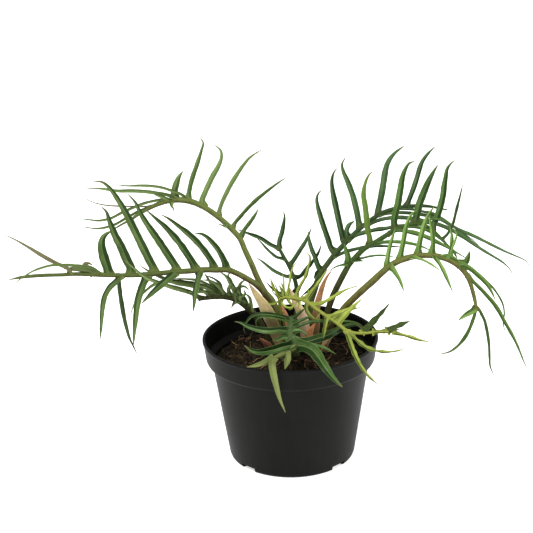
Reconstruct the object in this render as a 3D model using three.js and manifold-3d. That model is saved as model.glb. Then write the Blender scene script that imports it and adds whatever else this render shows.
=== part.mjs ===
// A potted philodendron tortum: finely divided arching leaves in a round nursery pot.
// Millimetres, +Z up. The origin is the middle of the pot's underside, and -Y is the front.
import * as THREE from "three";
import { mergeVertices } from "three/addons/utils/BufferGeometryUtils.js";
import Module from "manifold-3d";

const wasm = await Module();
wasm.setup();

// Pot
const POT_HEIGHT = 121.7;
const RIM_RADIUS = 85;
const BAND_HEIGHT = 21.5;
const BODY_TOP_RADIUS = 76.4;
const BASE_RADIUS = 60.5;
const FOOT_ROUND = 3;
const STEP = 5.6;
const BAND_FOOT = POT_HEIGHT - BAND_HEIGHT;
const BAND_FOOT_RADIUS = BODY_TOP_RADIUS + STEP;
const LEDGE = BAND_FOOT - 2;
const LIP = 2.4;
const WALL = 1.8;
const FLOOR = 2.4;
const POT_SIDES = 40;
const DRAIN_SLOTS = 4;
const SLOT_WIDTH = 16;
const SLOT_HEIGHT = 4.5;
const SLOT_DEPTH = 10;
const DRAIN_HOLES = 4;
const HOLE_RADIUS = 5;
const HOLE_CIRCLE = 34;

// Soil and crowns
const SOIL_EDGE = 97;
const SOIL_MIDDLE = 101;
const GAP = 0.3;
const CROWN_RADIUS = 9;
const CROWN_TOP = 8;
const CROWN_ROOT = 12;
const CROWN_SIDES = 14;
const CROWNS = {
  crown_left: [-16, 17],
  crown_middle: [2, 4],
  crown_right: [22, 11],
};

// Leaves
const BLADE_THICKNESS = 1.2;
const TIP = 0.1;
const STALK_SIDES = 6;
const THREAD = 1.6;
// How a leaflet narrows: what it loses at the tip, how late, and over how much of it the base swells
const TIP_LOSS = 0.9;
const TIP_POWER = 1.9;
const BASE_SHARE = 0.2;
const MOST_BREADTH = 1.35;

// Points of leaves and sheaths are [across, up, back] in millimetres, as sighted from the front.
// Across and up are read on a sheet through AIM that faces the eye. Back is the true distance
// behind the pot's axis, so a point is where its sight line meets that depth.
const EYE_DISTANCE = 1200;
const EYE_PITCH = THREE.MathUtils.degToRad(19.3);
const AIM = new THREE.Vector3(-21.2, 0, 193.1);

// A leaf has a stalk of [across, up, back, radius] points, and leaflets of
// [place along the stalk in points, seen width, point, point, ...]. A leaflet starts at `base` of its
// full breadth and narrows from `full` of its length to the tip.
// Its breadth is how wide its leaflets really are: one that looks narrower is turned on its axis.
const LEAVES = {
  leaf_left_high: {
    colour: 0x47703a,
    breadth: 5.2,
    base: 0.85,
    full: 0.4,
    stalk: [
      [10, -76, 22, 3], [9.5, -52, 25, 3], [6, -35, 28, 3], [-3, -22.5, 30, 2.9], [-10, -8, 32, 2.9],
      [-13.5, 1, 33.5, 2.8], [-20, 16, 36, 2.7], [-24.5, 27, 38, 2.7], [-35, 39.3, 41, 2.7],
      [-45, 48.5, 43, 2.7], [-55, 56, 45, 2.7], [-65, 61.5, 46, 3], [-75, 64.7, 46, 3],
      [-86, 65.3, 46, 2.8], [-97, 63.3, 45, 2.4], [-107, 59.5, 44, 2], [-118, 54, 42, 1.7],
      [-126, 48.8, 40, 1.4], [-138, 42.5, 38, 0.9], [-152, 34.5, 35, 0.3],
    ],
    leaflets: [
      [11.8, 4.4, [-72.3, 72, 50], [-70.6, 80, 54], [-68.1, 88, 59], [-65, 96, 63], [-62, 104, 67],
        [-59.2, 112, 70], [-57.3, 119, 71], [-59.9, 123.7, 72]],
      [10.3, 5.4, [-59.5, 64, 48], [-56.4, 72, 52], [-52.6, 80, 56], [-48.4, 88, 60], [-43.5, 96, 64],
        [-40.3, 104, 67], [-40.7, 111, 69], [-46.4, 116.7, 71]],
      [8.9, 4.2, [-43.2, 56, 46], [-40.2, 64, 51], [-36.1, 72, 55], [-31.7, 80, 59], [-26.4, 88, 63],
        [-20.6, 96, 67], [-13.3, 104, 70], [-2, 111, 72]],
      [7.7, 3.6, [-28.9, 43.1, 44], [-24.3, 48.4, 47], [-16.8, 56.4, 51], [-8.2, 64.3, 55], [2.4, 72.3, 58],
        [12.4, 79.1, 60], [20.9, 84.1, 62]],
      [7.1, 3.9, [-20.5, 36, 42], [-16.6, 40.8, 44], [-10.8, 48.3, 46], [-6, 55.5, 47]],
      [12.9, 6.4, [-85.6, 73, 49], [-83.8, 80, 51], [-81, 87, 53], [-77, 92.5, 54]],
      [11.8, 2.6, [-78, 70.4, 45], [-88, 74.7, 42], [-98, 78.1, 39], [-108, 79.7, 37], [-119, 80.2, 36],
        [-131, 80.1, 34], [-142, 81.6, 33]],
      [12.8, 3.4, [-90, 70, 43], [-100, 72.3, 40], [-111, 74.2, 38], [-125, 75.4, 36], [-140, 75.7, 33],
        [-155, 78, 30], [-170, 78.7, 28]],
      [13.2, 3, [-98, 69.3, 41], [-107, 72.3, 39]],
      [13.7, 2.6, [-98, 66, 43], [-108, 65, 41], [-116, 63, 40], [-124, 60, 39], [-131, 57.2, 37],
        [-138, 54, 36], [-145, 50.5, 34], [-151, 48.7, 33], [-159, 47.8, 31], [-168, 48.9, 29],
        [-178, 50, 28]],
      [15, 1.5, [-114, 59.8, 43], [-124, 60.2, 42], [-141, 61, 40], [-151, 62, 39], [-160, 64, 39],
        [-168, 67.5, 38], [-175, 72, 38]],
      [15.2, 2.5, [-118, 57, 42], [-125.5, 53.4, 40], [-135, 48.2, 38], [-142, 44.4, 35], [-149, 42, 33],
        [-158, 40.4, 32], [-167, 41, 30], [-175, 42.7, 29]],
      [8.2, 1.6, [-38, 39, 36], [-42, 40.5, 34], [-47, 42.3, 33]],
      [13.2, 1.6, [-88.5, 60, 43], [-87, 57, 42], [-87.4, 53.7, 41]],
    ],
  },
  leaf_left_front: {
    colour: 0x3f6b35,
    breadth: 7,
    base: 0.95,
    full: 0.25,
    stalk: [
      [6.5, -78, 14, 3.1], [6, -56, 12, 3.1], [3.5, -38, 10, 3], [-1, -28, 8, 3], [-6, -21, 6.5, 2.9],
      [-12, -15.5, 5, 2.9], [-20, -10.4, 3, 2.9], [-29, -5.4, 1.5, 2.8], [-37, -2.2, 0, 2.8],
      [-47, -2, -1.5, 2.8], [-58, -1.6, -3, 2.8], [-70, -2.2, -4, 2.7], [-80, -2.6, -5, 2.6],
      [-92, -3.2, -6.5, 2.5], [-104, -4, -8, 2.5], [-116, -4.8, -9, 2.4], [-128, -5, -10, 2.3],
      [-140, -4.8, -11, 2.1], [-152, -4.6, -12, 1.9], [-165, -3.6, -13, 1.9], [-180, -2.6, -14, 1.9],
      [-195, -3, -15, 1.7], [-210, -3, -15.5, 1.8], [-223, -3.5, -16, 1.7], [-234, -4.5, -16.5, 1.4],
      [-245, -6.5, -17, 0.3],
    ],
    leaflets: [
      [17.8, 9.4, [-151.1, 3, -10], [-153, 9, -9], [-154.9, 16, -8], [-156, 24, -6], [-154.5, 31, -3],
        [-150.7, 35, -1], [-145.7, 37.5, 1]],
      [16.1, 8.6, [-129, 2.5, -9], [-131.6, 8, -8], [-135, 16, -6], [-138.3, 24, -4], [-142.4, 32, -2],
        [-145.5, 40, 0], [-148.3, 48, 3], [-150.6, 55.5, 5], [-154.8, 60.3, 6]],
      [14.2, 7.9, [-107.7, 2, -7], [-110.7, 8, -6], [-114.4, 16, -4], [-121.8, 32, 0], [-125.5, 40, 2],
        [-133.2, 56, 5], [-142.5, 72, 8], [-148.7, 80, 9], [-154.7, 84.3, 10], [-161.7, 85, 10]],
      [12.4, 7.2, [-86.8, 3, -5], [-89.8, 8, -4], [-94.8, 16, -2], [-99.8, 24, 0], [-105, 32, 2],
        [-110.3, 40, 3], [-115.3, 48, 5], [-119.5, 56, 6], [-123, 64, 7], [-129.8, 72, 8]],
      [10.7, 6.7, [-69.3, 3, -3], [-72.2, 8, -2], [-77.1, 16, 0], [-82.3, 24, 1], [-88.6, 32, 3],
        [-95.5, 40, 4], [-104, 48, 5], [-113.3, 57, 6]],
      [9.2, 6, [-51.2, 3, -2], [-53.9, 8, -1], [-59.1, 16, 1], [-65.4, 24, 2], [-73.1, 32, 3],
        [-82.5, 40, 4], [-91.7, 47.5, 5], [-98.7, 51.7, 6]],
      [8.1, 5.4, [-40.2, 4, 0], [-42.2, 9, 0], [-45.8, 16, 1], [-51.2, 23.5, 2], [-56.7, 29.5, 3],
        [-62.2, 32.5, 3], [-67.7, 32.5, 3]],
      [18.7, 4.6, [-166, 0.5, -13], [-173.3, 4.3, -12], [-172.8, 7.3, -11], [-168.5, 7.7, -10],
        [-165, 5.5, -9]],
      [18.9, 5.5, [-168, -1, -14], [-179, 1.5, -15], [-192.5, 2.6, -16.4]],
      [20.4, 3.6, [-188, 1.5, -16], [-196, 5.6, -16.5], [-204, 9.6, -17], [-213, 15, -17.5],
        [-225, 23, -18], [-236, 30, -18], [-247, 36, -18]],
      [18.2, 2.4, [-165, 1.7, -16], [-175, 4.4, -18], [-185, 5.4, -20], [-195, 6, -22], [-205, 5.7, -24],
        [-214, 3.6, -25], [-222, 0.8, -26.5], [-229, -3.2, -27], [-236, -7.6, -28], [-243, -13.6, -29]],
      [16.8, 5.2, [-143.8, -10, -15], [-150, -15.5, -18], [-154.7, -23.5, -21], [-156.9, -32, -23.5],
        [-158, -42, -25.5], [-158.9, -54, -27.5], [-159.8, -66, -28]],
      [17, 4.2, [-141.2, -12, -8], [-140.8, -20, -6], [-139.3, -32, -5], [-137.4, -44, -4],
        [-134.7, -56, -3], [-132.1, -65, -3], [-128.8, -72, -2], [-125, -80, -2]],
      [14.7, 6.6, [-116.2, -10, -12], [-119, -16, -14], [-121.9, -24, -17], [-123.9, -32, -19.5],
        [-125.5, -44, -22], [-126.8, -56, -24.5], [-128.3, -72, -27]],
      [12.6, 6.8, [-91, -6.7, -13], [-97.8, -12.2, -17], [-105.5, -18.8, -21.5], [-112.8, -25.5, -25],
        [-119.5, -32.2, -27]],
      [10.5, 5.2, [-65.8, -8, -8], [-68, -16, -11], [-69.5, -24, -13], [-70, -32, -15], [-71, -41.5, -16]],
    ],
  },
  leaf_left_low: {
    colour: 0x35572f,
    breadth: 5,
    base: 0.95,
    full: 0.3,
    stalk: [
      [2, -78, 20, 3.2], [-4, -60, 23, 3.2], [-13, -45, 25.5, 3.3], [-22, -35.5, 26.5, 3.4],
      [-32, -29.5, 27, 3.1], [-42, -27.6, 26, 2.6], [-53, -27.8, 25, 2.3], [-64.5, -29.3, 23.5, 1.9],
    ],
    leaflets: [
      [6.8, 4.6, [-72, -22.8, 15], [-82, -19.3, 6], [-92, -16.3, -3], [-101, -13, -10], [-110, -9.5, -16],
        [-118, -5, -20], [-126, 2, -23], [-134.5, 9.5, -26]],
      [5.3, 4.8, [-55, -19.5, 22], [-67, -15.3, 18], [-80, -12.7, 12], [-92, -10.5, 6], [-104, -6, 2],
        [-112, -1.5, 0], [-121, 4.6, -1]],
      [5, 2.8, [-55, -15.8, 24], [-66, -11, 21], [-78, -9.6, 15], [-90, -9, 9]],
      [4.8, 3.8, [-49, -18.5, 25], [-54.3, -12, 25], [-59, -4.8, 25]],
      [3.4, 5.6, [-30, -24, 25.5], [-34, -15.5, 25.5], [-38.5, -8.5, 25], [-44, -4.3, 24]],
      [3.2, 4, [-26, -21, 25], [-24.5, -15.5, 24], [-19.5, -11.5, 22]],
      [6, 3.2, [-66, -18, 17], [-82, -14.5, 9], [-98, -11, 1], [-108, -14.5, -3], [-117, -21.5, -5],
        [-126, -31.5, -7], [-131, -45, -8]],
      [3, 3, [-25, -29.5, 24], [-20.5, -25.5, 22], [-22.5, -21, 20]],
      [3.6, 3.2, [-31, -23, 25], [-26.5, -18.3, 24], [-20.5, -18.5, 22], [-17, -22.5, 21]],
      [4, 3.6, [-36, -21.5, 26], [-33.5, -14, 26], [-36.5, -7.5, 26], [-33, -4, 26]],
      [4.4, 2.8, [-42, -21, 25], [-44.5, -14.5, 25], [-51, -9.5, 25], [-59, -7, 24]],
      [5.2, 3.2, [-52, -24.5, 24], [-60, -22, 20], [-69, -22.5, 15], [-77, -21.5, 9]],
      [2.6, 3.2, [-21, -30, 25], [-26, -24, 25], [-33, -17, 25], [-36, -12, 25]],
      [2.3, 3.2, [-15, -34.5, 22], [-17, -28, 20], [-22, -24.5, 19]],
      [4.6, 3.4, [-42, -22, 22], [-47, -16, 21], [-54, -12, 20], [-62, -11, 18]],
      [3.4, 1.8, [-31, -34, 24], [-34.5, -38.5, 22]],
    ],
  },
  leaf_middle_back: {
    colour: 0x2f5a34,
    breadth: 4.6,
    base: 0.9,
    full: 0.35,
    stalk: [
      [26, -79, 15, 2.6], [27, -52, 37, 2.4], [28.3, -26, 43, 2.2], [27, -15, 44, 2.1], [24.5, -8, 45, 2],
      [21.3, 0, 47, 1.9], [17, 8, 49, 1.8], [12.5, 16.5, 52, 1.7],
    ],
    leaflets: [
      [7, 4.7, [13, 24, 54], [15.5, 32, 57], [17.3, 40, 59], [18.3, 47.5, 61], [17.3, 52, 62]],
      [7, 4, [4, 20.5, 53], [-5, 26.7, 52], [-15, 31, 51], [-21, 33.3, 50], [-27, 36, 49]],
      [5.8, 2.8, [10, 8, 47], [0.8, 16, 46], [-4.5, 22.5, 45], [-8.5, 27, 44]],
      [3.8, 3.6, [20, -10.5, 43], [13, -8, 41], [6, -4, 39], [1.2, 0, 39], [-4, 4.7, 38], [-9.5, 8.7, 38]],
      [5, 4.4, [26, 6, 50], [32.6, 15.7, 52], [37.5, 23, 54], [41, 30, 56], [43.6, 35.8, 57]],
      [3.6, 3.6, [31.3, -9.5, 46], [36.3, -4, 49], [41.3, 1.5, 50], [45.8, 7, 52], [49.8, 13, 53],
        [52.8, 20.5, 55]],
      [2.3, 2.8, [18, -27, 40], [8, -23, 38], [4, -19.7, 38], [-1, -14, 37]],
    ],
  },
  leaf_right_back: {
    colour: 0x36613a,
    breadth: 5.6,
    base: 0.9,
    full: 0.45,
    stalk: [
      [40.5, -78, 19, 2.9], [40.5, -50, 27, 3.1], [41.2, -35, 32, 3.3], [44.6, -24, 35.5, 3.3],
      [48.9, -13, 38, 3], [53.3, -5, 40, 2.8], [58.5, 1.8, 42, 2.7], [65, 9.8, 44, 2.6], [72, 17, 47, 2.6],
      [80, 25, 49, 2.5], [90, 34, 51, 2.4], [100, 41.5, 53, 2.3], [110, 47.5, 54.5, 2.2],
      [122, 51.5, 55, 2.2], [135, 53.6, 55, 2.1], [153, 53.6, 54, 1.7], [173, 49.4, 52, 0.6],
    ],
    leaflets: [
      [4.9, 4.6, [49.5, 0, 42], [46.8, 8, 43], [43.6, 16, 44], [41.5, 24, 44], [40.5, 32, 45]],
      [7.2, 5.5, [62, 16, 48], [59.5, 24, 52], [56.9, 32, 55], [54.4, 40, 58], [52.2, 48, 61],
        [50.2, 56, 63], [49.4, 63, 65], [50.7, 67.5, 67], [54.2, 71.5, 68]],
      [8.6, 6.2, [73.6, 24, 52], [71.7, 32, 55], [70.1, 40, 59], [68.6, 48, 62], [67.1, 56, 65],
        [65.6, 64, 68], [64.4, 72, 71], [64.1, 80, 73], [65.9, 87, 75], [69.1, 91.5, 76]],
      [9, 4.4, [77.5, 31, 54], [79.5, 37, 57], [84.5, 41, 58]],
      [10, 6, [88.6, 40, 54], [87.4, 48, 58], [85.8, 56, 62], [84, 64, 66], [81.5, 72, 69], [78.6, 80, 72],
        [75.3, 88, 75], [74.1, 95, 77], [77.3, 101.5, 78]],
      [11.8, 6.3, [107.5, 51, 57], [108.7, 56, 60], [110.5, 64, 63], [112.2, 72, 66], [113.6, 80, 69],
        [115.1, 88, 72], [117.8, 96, 75], [123.8, 104, 78], [133.5, 111.3, 81]],
      [13.9, 5, [136.2, 57.5, 57], [139.2, 64, 60], [142.4, 72, 64], [145.2, 80, 68], [147.7, 88, 71],
        [150.8, 96, 74], [156.5, 103.6, 77], [163, 110, 79]],
      [6.8, 3.2, [70, 9.3, 43], [78, 12, 42], [86, 13.9, 40], [95, 15.4, 38], [105, 16.2, 37],
        [115, 16, 36], [129, 15.2, 34]],
      [8.8, 3.8, [85, 26.5, 47], [95, 29.7, 45], [105, 31.8, 44], [115, 33, 43], [127, 35.5, 41],
        [138, 36.5, 40]],
      [10.4, 3.8, [96, 36.7, 50], [105, 39.9, 49], [115, 42, 48], [128, 42.5, 46], [140, 41, 44],
        [155, 37.2, 42], [165, 34.7, 40], [177, 29.2, 38], [185, 24.3, 37], [195, 17.4, 35.5],
        [205, 10.3, 34], [215, 4.1, 32.5], [225, -2.5, 31], [231, -8.8, 29], [233.5, -13.8, 28]],
      [11.8, 3.3, [118, 47.3, 52], [135, 46.8, 50], [150, 44.5, 48], [163, 41.3, 46], [175, 34.7, 44],
        [185, 29, 42], [195, 24.6, 41], [205, 19.6, 40], [215, 14.3, 38], [226, 8.7, 37], [236, 4.2, 35],
        [243, 1, 34], [247, -1.8, 33.5], [249.5, -7, 33]],
      [13, 2.5, [132, 51, 52], [142, 50, 50], [150, 48, 49], [160, 45.5, 48.5], [172, 38, 48],
        [185, 27.8, 47.5], [195, 21.2, 47], [202, 15, 46]],
      [4.2, 2.4, [46.5, -15.3, 37], [41, -21.5, 36], [36.5, -25.5, 35], [31.5, -29.5, 34]],
      [4.5, 4, [46.3, -11.5, 39], [44.6, -12, 39]],
    ],
  },
  leaf_right_middle: {
    colour: 0x447236,
    breadth: 5.8,
    base: 0.9,
    full: 0.45,
    stalk: [
      [47, -79, 12, 2.9], [53, -56, 15, 3], [58, -41, 17, 3], [61.3, -32, 18.5, 3.1], [65, -24, 19.5, 3],
      [69.5, -15.5, 20.5, 3], [73.7, -8, 21.5, 2.9], [79, 0.5, 22.5, 2.8], [85, 7, 23, 2.6],
      [94, 15, 23.5, 2.5], [104, 20.5, 24, 2.4], [114, 26.5, 24.5, 2.3], [124, 32.5, 25, 2.1],
      [134, 36, 24, 1.9], [143, 37, 23, 1.8], [152, 34.8, 22, 1.7], [160, 29.3, 19, 1.5],
      [167, 22, 16, 1.3], [175, 13, 13, 1.1], [189, 3.5, 8, 0.4],
    ],
    leaflets: [
      [6.9, 5, [78, 7.5, 25], [76.5, 13, 28], [74.5, 19.7, 30]],
      [9.4, 5.4, [99, 24, 26], [97.7, 32, 29], [96.9, 40, 31], [96.3, 48, 34], [95.5, 56, 36],
        [94.3, 64, 39], [94.9, 72, 41], [97.2, 80, 44], [100.4, 85.5, 45], [103, 87.5, 46]],
      [11.9, 6.5, [122.1, 39, 27], [123.8, 48, 30], [126.2, 56, 32], [127.7, 64, 35], [129.3, 72, 37],
        [130.8, 80, 39], [133.6, 88, 42], [137.9, 94.5, 44], [143, 96.3, 45]],
      [13.8, 7, [143.1, 43, 26], [144.9, 49, 28], [146.8, 56, 31], [150, 64, 34], [153.4, 72, 37],
        [157.4, 80, 40], [162.1, 88, 43], [165, 92, 45]],
      [15.8, 6, [160.1, 37, 23], [162.9, 42.5, 26], [164.9, 48, 28], [167.4, 56, 32], [169.4, 64, 35],
        [170.5, 72, 38], [172.1, 80, 40], [173.7, 88, 42], [177.1, 93, 44], [181.1, 96.3, 45]],
      [17.1, 2.7, [173, 28, 22], [177.6, 36.5, 28], [180.6, 47, 31], [183.2, 56, 33], [185.6, 64, 35],
        [188.2, 73.5, 36]],
      [9.9, 3.2, [106, 19.3, 21], [115, 19.7, 18], [125, 19.6, 15], [135, 18.3, 12], [145, 16, 10],
        [156, 11.3, 6]],
      [11.2, 3.8, [125, 30.5, 22], [135, 29, 19], [145, 26.4, 16.5], [155, 22.3, 13], [165, 17.2, 9.5],
        [174, 12.5, 6], [187, 4.5, 2]],
      [12.4, 2.8, [134, 34, 22], [142, 33.5, 21], [149, 31.8, 20], [156, 28.8, 18], [165, 22.4, 14],
        [173, 14.5, 10]],
      [14, 2.2, [150, 38.7, 24], [158, 40.5, 24], [167, 39.3, 23], [178, 34.5, 22]],
      [17.9, 2.4, [178, 9, 11], [181, 3.3, 9]],
      [6.9, 1.6, [72, -0.3, 20], [65, -2.3, 19], [59, -6.3, 18]],
      [7.4, 1.9, [85, 3.2, 21], [93, 2.7, 19]],
      [7.6, 2, [90, 5.2, 21], [100, 7.2, 19.5], [108, 7.7, 18], [115, 7.2, 16.5], [123, 5.5, 15]],
    ],
  },
  leaf_right_front: {
    colour: 0x5b8a36,
    breadth: 4.6,
    base: 0.95,
    full: 0.35,
    stalk: [
      [46, -84, 0, 2.9], [58, -60, -6, 2.9], [74, -40, -12, 3.2], [83, -31.5, -15, 3.2],
      [92, -23.5, -18, 3.2], [101, -16, -21, 3.2], [110, -8, -24, 3.1], [117, -2.5, -26, 3],
      [126, 2.2, -28, 2.9], [136, 5.2, -30, 2.9], [146, 6.8, -31.5, 2.8], [156, 6.6, -33, 2.8],
      [165, 5, -34, 2.8], [175, 1.2, -35.5, 2.8], [183, -4.5, -37, 2.7], [189, -11.5, -38, 2.4],
      [192.5, -19, -38.5, 2.1], [195, -28, -39, 1.8], [197, -37, -39.5, 1.7], [198, -44, -40, 1.5],
    ],
    leaflets: [
      [6.7, 3.8, [115.7, 5, -24], [116.6, 10, -23], [118.2, 17, -21], [120.4, 24, -19], [123.5, 34, -17]],
      [8.1, 4.5, [127.8, 8, -27], [129.7, 16, -25], [131.4, 24, -23], [133, 32, -21], [135.5, 40, -19],
        [139, 46, -17], [144.5, 50.3, -15]],
      [9.8, 4.9, [144.5, 12, -29], [145.7, 18, -27], [147.3, 25, -25], [149.4, 32, -23], [151.8, 39, -21],
        [155.5, 46, -19], [161, 53.7, -17]],
      [11.1, 4.4, [157, 11, -32], [158.3, 17, -30], [158.2, 24, -28.5], [157.5, 32, -27], [156.4, 38, -26],
        [156, 44.5, -25]],
      [12.8, 3.2, [174, 9, -34], [175.3, 16, -32], [176.2, 24, -30], [175, 34, -28]],
      [12.9, 2.2, [176, 12, -34], [179.3, 20, -33], [181, 26, -34], [178.5, 31.5, -34]],
      [13.8, 5.8, [189.5, 0, -36], [191.6, 4.5, -35.5], [193.4, 9.9, -35]],
      [12.2, 3.4, [171, 6, -36], [177, 4.3, -37], [184.5, -0.5, -38]],
      [7.1, 3.6, [120.5, -5, -30], [123.5, -10, -33], [126.7, -16, -35], [130, -27, -38]],
      [9.2, 2.2, [142, 4.3, -36], [148, 2.3, -39], [154.5, -1, -43], [160, -4.7, -45], [165.5, -9, -47]],
      [11.4, 3.3, [161, 2.5, -38], [164, -1.7, -41], [167.4, -8, -44], [170.8, -16, -47],
        [176.2, -29, -50]],
      [13.7, 4.4, [188, -3.2, -40], [195, -7.8, -43], [200, -12.2, -45], [205, -17.2, -46],
        [210, -23.4, -48], [214, -31, -49], [216.3, -37.5, -50]],
      [13.9, 1.9, [199, -11.5, -38], [209.4, -20.5, -41], [217, -29.7, -43], [223, -41, -45.5],
        [224.4, -50, -47], [223.2, -60, -48.5], [226, -71, -50]],
      [15.2, 3.4, [195, -18, -40], [201.3, -24, -42], [208.6, -32, -44], [215.2, -40, -46],
        [220.3, -48, -47], [224.2, -56, -48.5], [228.5, -64, -50], [232.6, -72, -51.5], [236.2, -80, -52.5],
        [239.2, -88, -53.5], [242, -96, -54.5], [245.5, -104, -55]],
      [19, 3.2, [196, -50, -41], [193.7, -56, -42.5], [190.4, -64, -44], [185.7, -72, -45.5],
        [179.3, -79.5, -47.5], [171.9, -84.8, -49], [161.6, -87.5, -50]],
      [19, 2.7, [201.1, -46.5, -40.5], [203.6, -50.7, -41], [206.2, -56.7, -42], [207.8, -64, -43],
        [209, -72, -43.5], [209.7, -80, -44.5], [209.8, -92, -45.5], [210.1, -100, -46],
        [213.6, -109.5, -47]],
      [19, 5.4, [194, -47.3, -41.5], [188, -50.7, -44], [181, -55.5, -46]],
    ],
  },
  leaf_young: {
    colour: 0xa6bd45,
    breadth: 3.8,
    base: 1,
    full: 0.2,
    stalk: [
      [20, -82, 6, 2.2], [17, -58, 6, 2], [12, -40, 4, 1.8], [13, -31.5, 2, 1.8], [19, -29.7, -1, 2],
      [27, -31, -6, 2], [34, -32.7, -11, 1.8], [40, -36, -16, 1.8], [46, -41.3, -21, 1.7],
      [52, -45.8, -25, 1.7], [57, -49.5, -29, 1.8], [63, -53.5, -33, 1.8], [69, -58.5, -37, 1.8],
      [74, -62.5, -40, 1.8], [83, -65.3, -42, 1.6], [94, -65.3, -44, 1.5], [105, -64.2, -45, 1.4],
      [118, -65, -47, 1.3],
    ],
    leaflets: [
      [3.1, 3.4, [9, -24, 4], [5.8, -18, 6], [3.2, -11, 8]],
      [3, 1.8, [9, -28, 0], [5.5, -24, -1], [5, -20, -1]],
      [3.7, 2.8, [14.5, -23, 4], [11.2, -17.5, 5]],
      [3.7, 2.3, [16.3, -20, 4], [16.3, -14, 6], [15.2, -7, 8]],
      [4.1, 2.8, [20, -24, 1], [20.3, -18, 3]],
      [4.3, 2.5, [20.7, -21, 2], [22.5, -13, 5], [23.7, -6, 7], [26, 0, 8], [30.5, 4.5, 9]],
      [5, 3.6, [29, -25, -1], [32.5, -18, 2], [37, -10.5, 5], [40, -1, 8], [41.5, 8, 10], [38, 13.3, 11]],
      [6.4, 3.6, [41, -27, -10], [47, -19.5, -9], [52.5, -12, -7.5], [58, -3.7, -6]],
      [7.2, 3.4, [48, -37.6, -17], [55, -34.8, -16], [62, -31.2, -15], [69, -27, -14], [77, -23.2, -14],
        [88, -20.3, -14]],
      [3, 2.3, [7, -34.7, -4], [1.5, -35, -7], [-0.3, -32.3, -7]],
      [3, 2.4, [13.5, -36, -6], [18, -39.6, -9], [23, -39.7, -11], [27, -36, -11], [28.2, -31.5, -10]],
      [6.7, 3.2, [37, -40.5, -17], [39.5, -46, -21], [44.5, -50.5, -25], [51.5, -52, -28]],
      [10, 3.3, [55.3, -55, -34], [53.5, -62, -37], [52.2, -70, -40]],
      [10.1, 4, [64, -46.8, -32], [73, -44, -33], [88.5, -41, -34]],
      [11.5, 4.8, [71, -50.5, -35], [78, -43.3, -36], [83.8, -37.8, -37], [90, -32.8, -38]],
      [10.7, 3.4, [67, -48, -33], [76, -42.5, -34], [85, -40.3, -35]],
      [13, 4.2, [76.5, -70, -48], [79.7, -80, -58], [83.7, -90, -66], [88, -98, -71], [93.5, -105.5, -73],
        [104, -116, -73]],
      [13.2, 3.7, [82, -70, -46], [89, -76.5, -50], [97, -81.2, -53], [110, -83.8, -55], [122, -83.2, -56],
        [132, -80.3, -56]],
      [14.5, 6.4, [95.4, -59.2, -42], [102.4, -52.2, -42], [109.1, -45.5, -42], [115.7, -38, -42]],
      [16.6, 6.2, [119, -61.3, -47], [126, -58.3, -47.5], [135, -55.2, -48]],
      [17, 3.6, [126, -67.4, -48], [135, -70, -49.5], [143, -73, -51], [153.5, -75.6, -52]],
      [15.4, 4.2, [105, -64.6, -45], [114, -64, -46], [125, -63, -47]],
    ],
  },
  leaf_front: {
    colour: 0x37693a,
    breadth: 6,
    base: 1,
    full: 0.35,
    stalk: [
      [28, -85, -1, 2.4], [28, -64, 1, 2.2], [23, -50.5, -5, 2.2], [21.8, -58, -18, 2.9],
      [21, -66, -30, 3.7], [24, -75, -42, 3.6],
    ],
    leaflets: [
      [5, 8, [13, -77, -50], [3, -79.6, -55], [-7, -81, -58], [-15, -79.8, -58], [-23, -74.5, -57]],
      [5, 10.6, [34, -76.5, -50], [41.5, -80.5, -60], [47.5, -88, -74], [54.5, -99, -87],
        [61.5, -108.5, -91.5], [69, -116, -92]],
      [4.8, 8, [35, -72.5, -41], [45, -70, -36], [55, -67.2, -31], [63, -63.5, -28], [71, -59.5, -26.5],
        [79, -57.3, -26], [85, -57.8, -28], [89.5, -61.5, -30]],
      [3.3, 3, [30, -57.5, -18], [39, -54.3, -18], [52, -53.7, -17.5], [66, -54, -17], [79, -54.6, -18],
        [87, -57, -20], [90.5, -61, -22]],
      [3.6, 6, [11, -60.5, -26], [1, -61, -28], [-9, -59.6, -27], [-18, -56.8, -25], [-26, -52.7, -22],
        [-31.5, -51.5, -20]],
      [2.3, 3, [12, -47.7, -9], [2, -45.8, -9], [-8, -45.2, -9.5], [-15, -47.3, -11], [-20, -52, -13],
        [-23, -58.5, -15], [-21.5, -63.5, -16]],
      [2.5, 2.8, [9, -49.5, -11], [0, -48, -12], [-9, -48.5, -12], [-11.5, -53, -13], [-10, -57.5, -14]],
      [2.2, 2.8, [27.5, -47.5, -3], [36, -40.5, 2]],
      [2.9, 3.2, [29, -53.5, -13], [36, -50.5, -12], [42, -48.5, -12]],
      [3.8, 3, [30, -62, -28], [38, -67.5, -34]],
      [5, 3.2, [42, -76, -48], [52, -78.5, -50], [64, -85, -55]],
      [4.4, 3.4, [14, -68.5, -34], [8, -70.5, -38], [4, -69.5, -40]],
    ],
  },
  leaf_front_low: {
    colour: 0x9aa86a,
    breadth: 6,
    base: 1.1,
    full: 0.1,
    stalk: [
      [21, -87, -7, 2.2], [21.5, -82.6, -30, 2], [19, -83, -48, 2.1], [13, -83.8, -62, 2.3],
      [4, -87.5, -72, 1.9],
    ],
    leaflets: [
      [4, 5.6, [-4, -91, -79], [-12, -93.5, -84], [-21, -95, -88]],
      [4, 6.6, [3, -94, -86], [4.2, -103, -91], [6.5, -114, -93], [9.5, -126, -93], [14.5, -139, -93]],
      [2.7, 7.5, [17.5, -88, -64], [15, -98, -72]],
      [2, 2.4, [27.5, -78.5, -48], [24.5, -75, -52.5], [20.8, -78.5, -54], [24, -81.5, -54]],
    ],
  },
};

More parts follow.
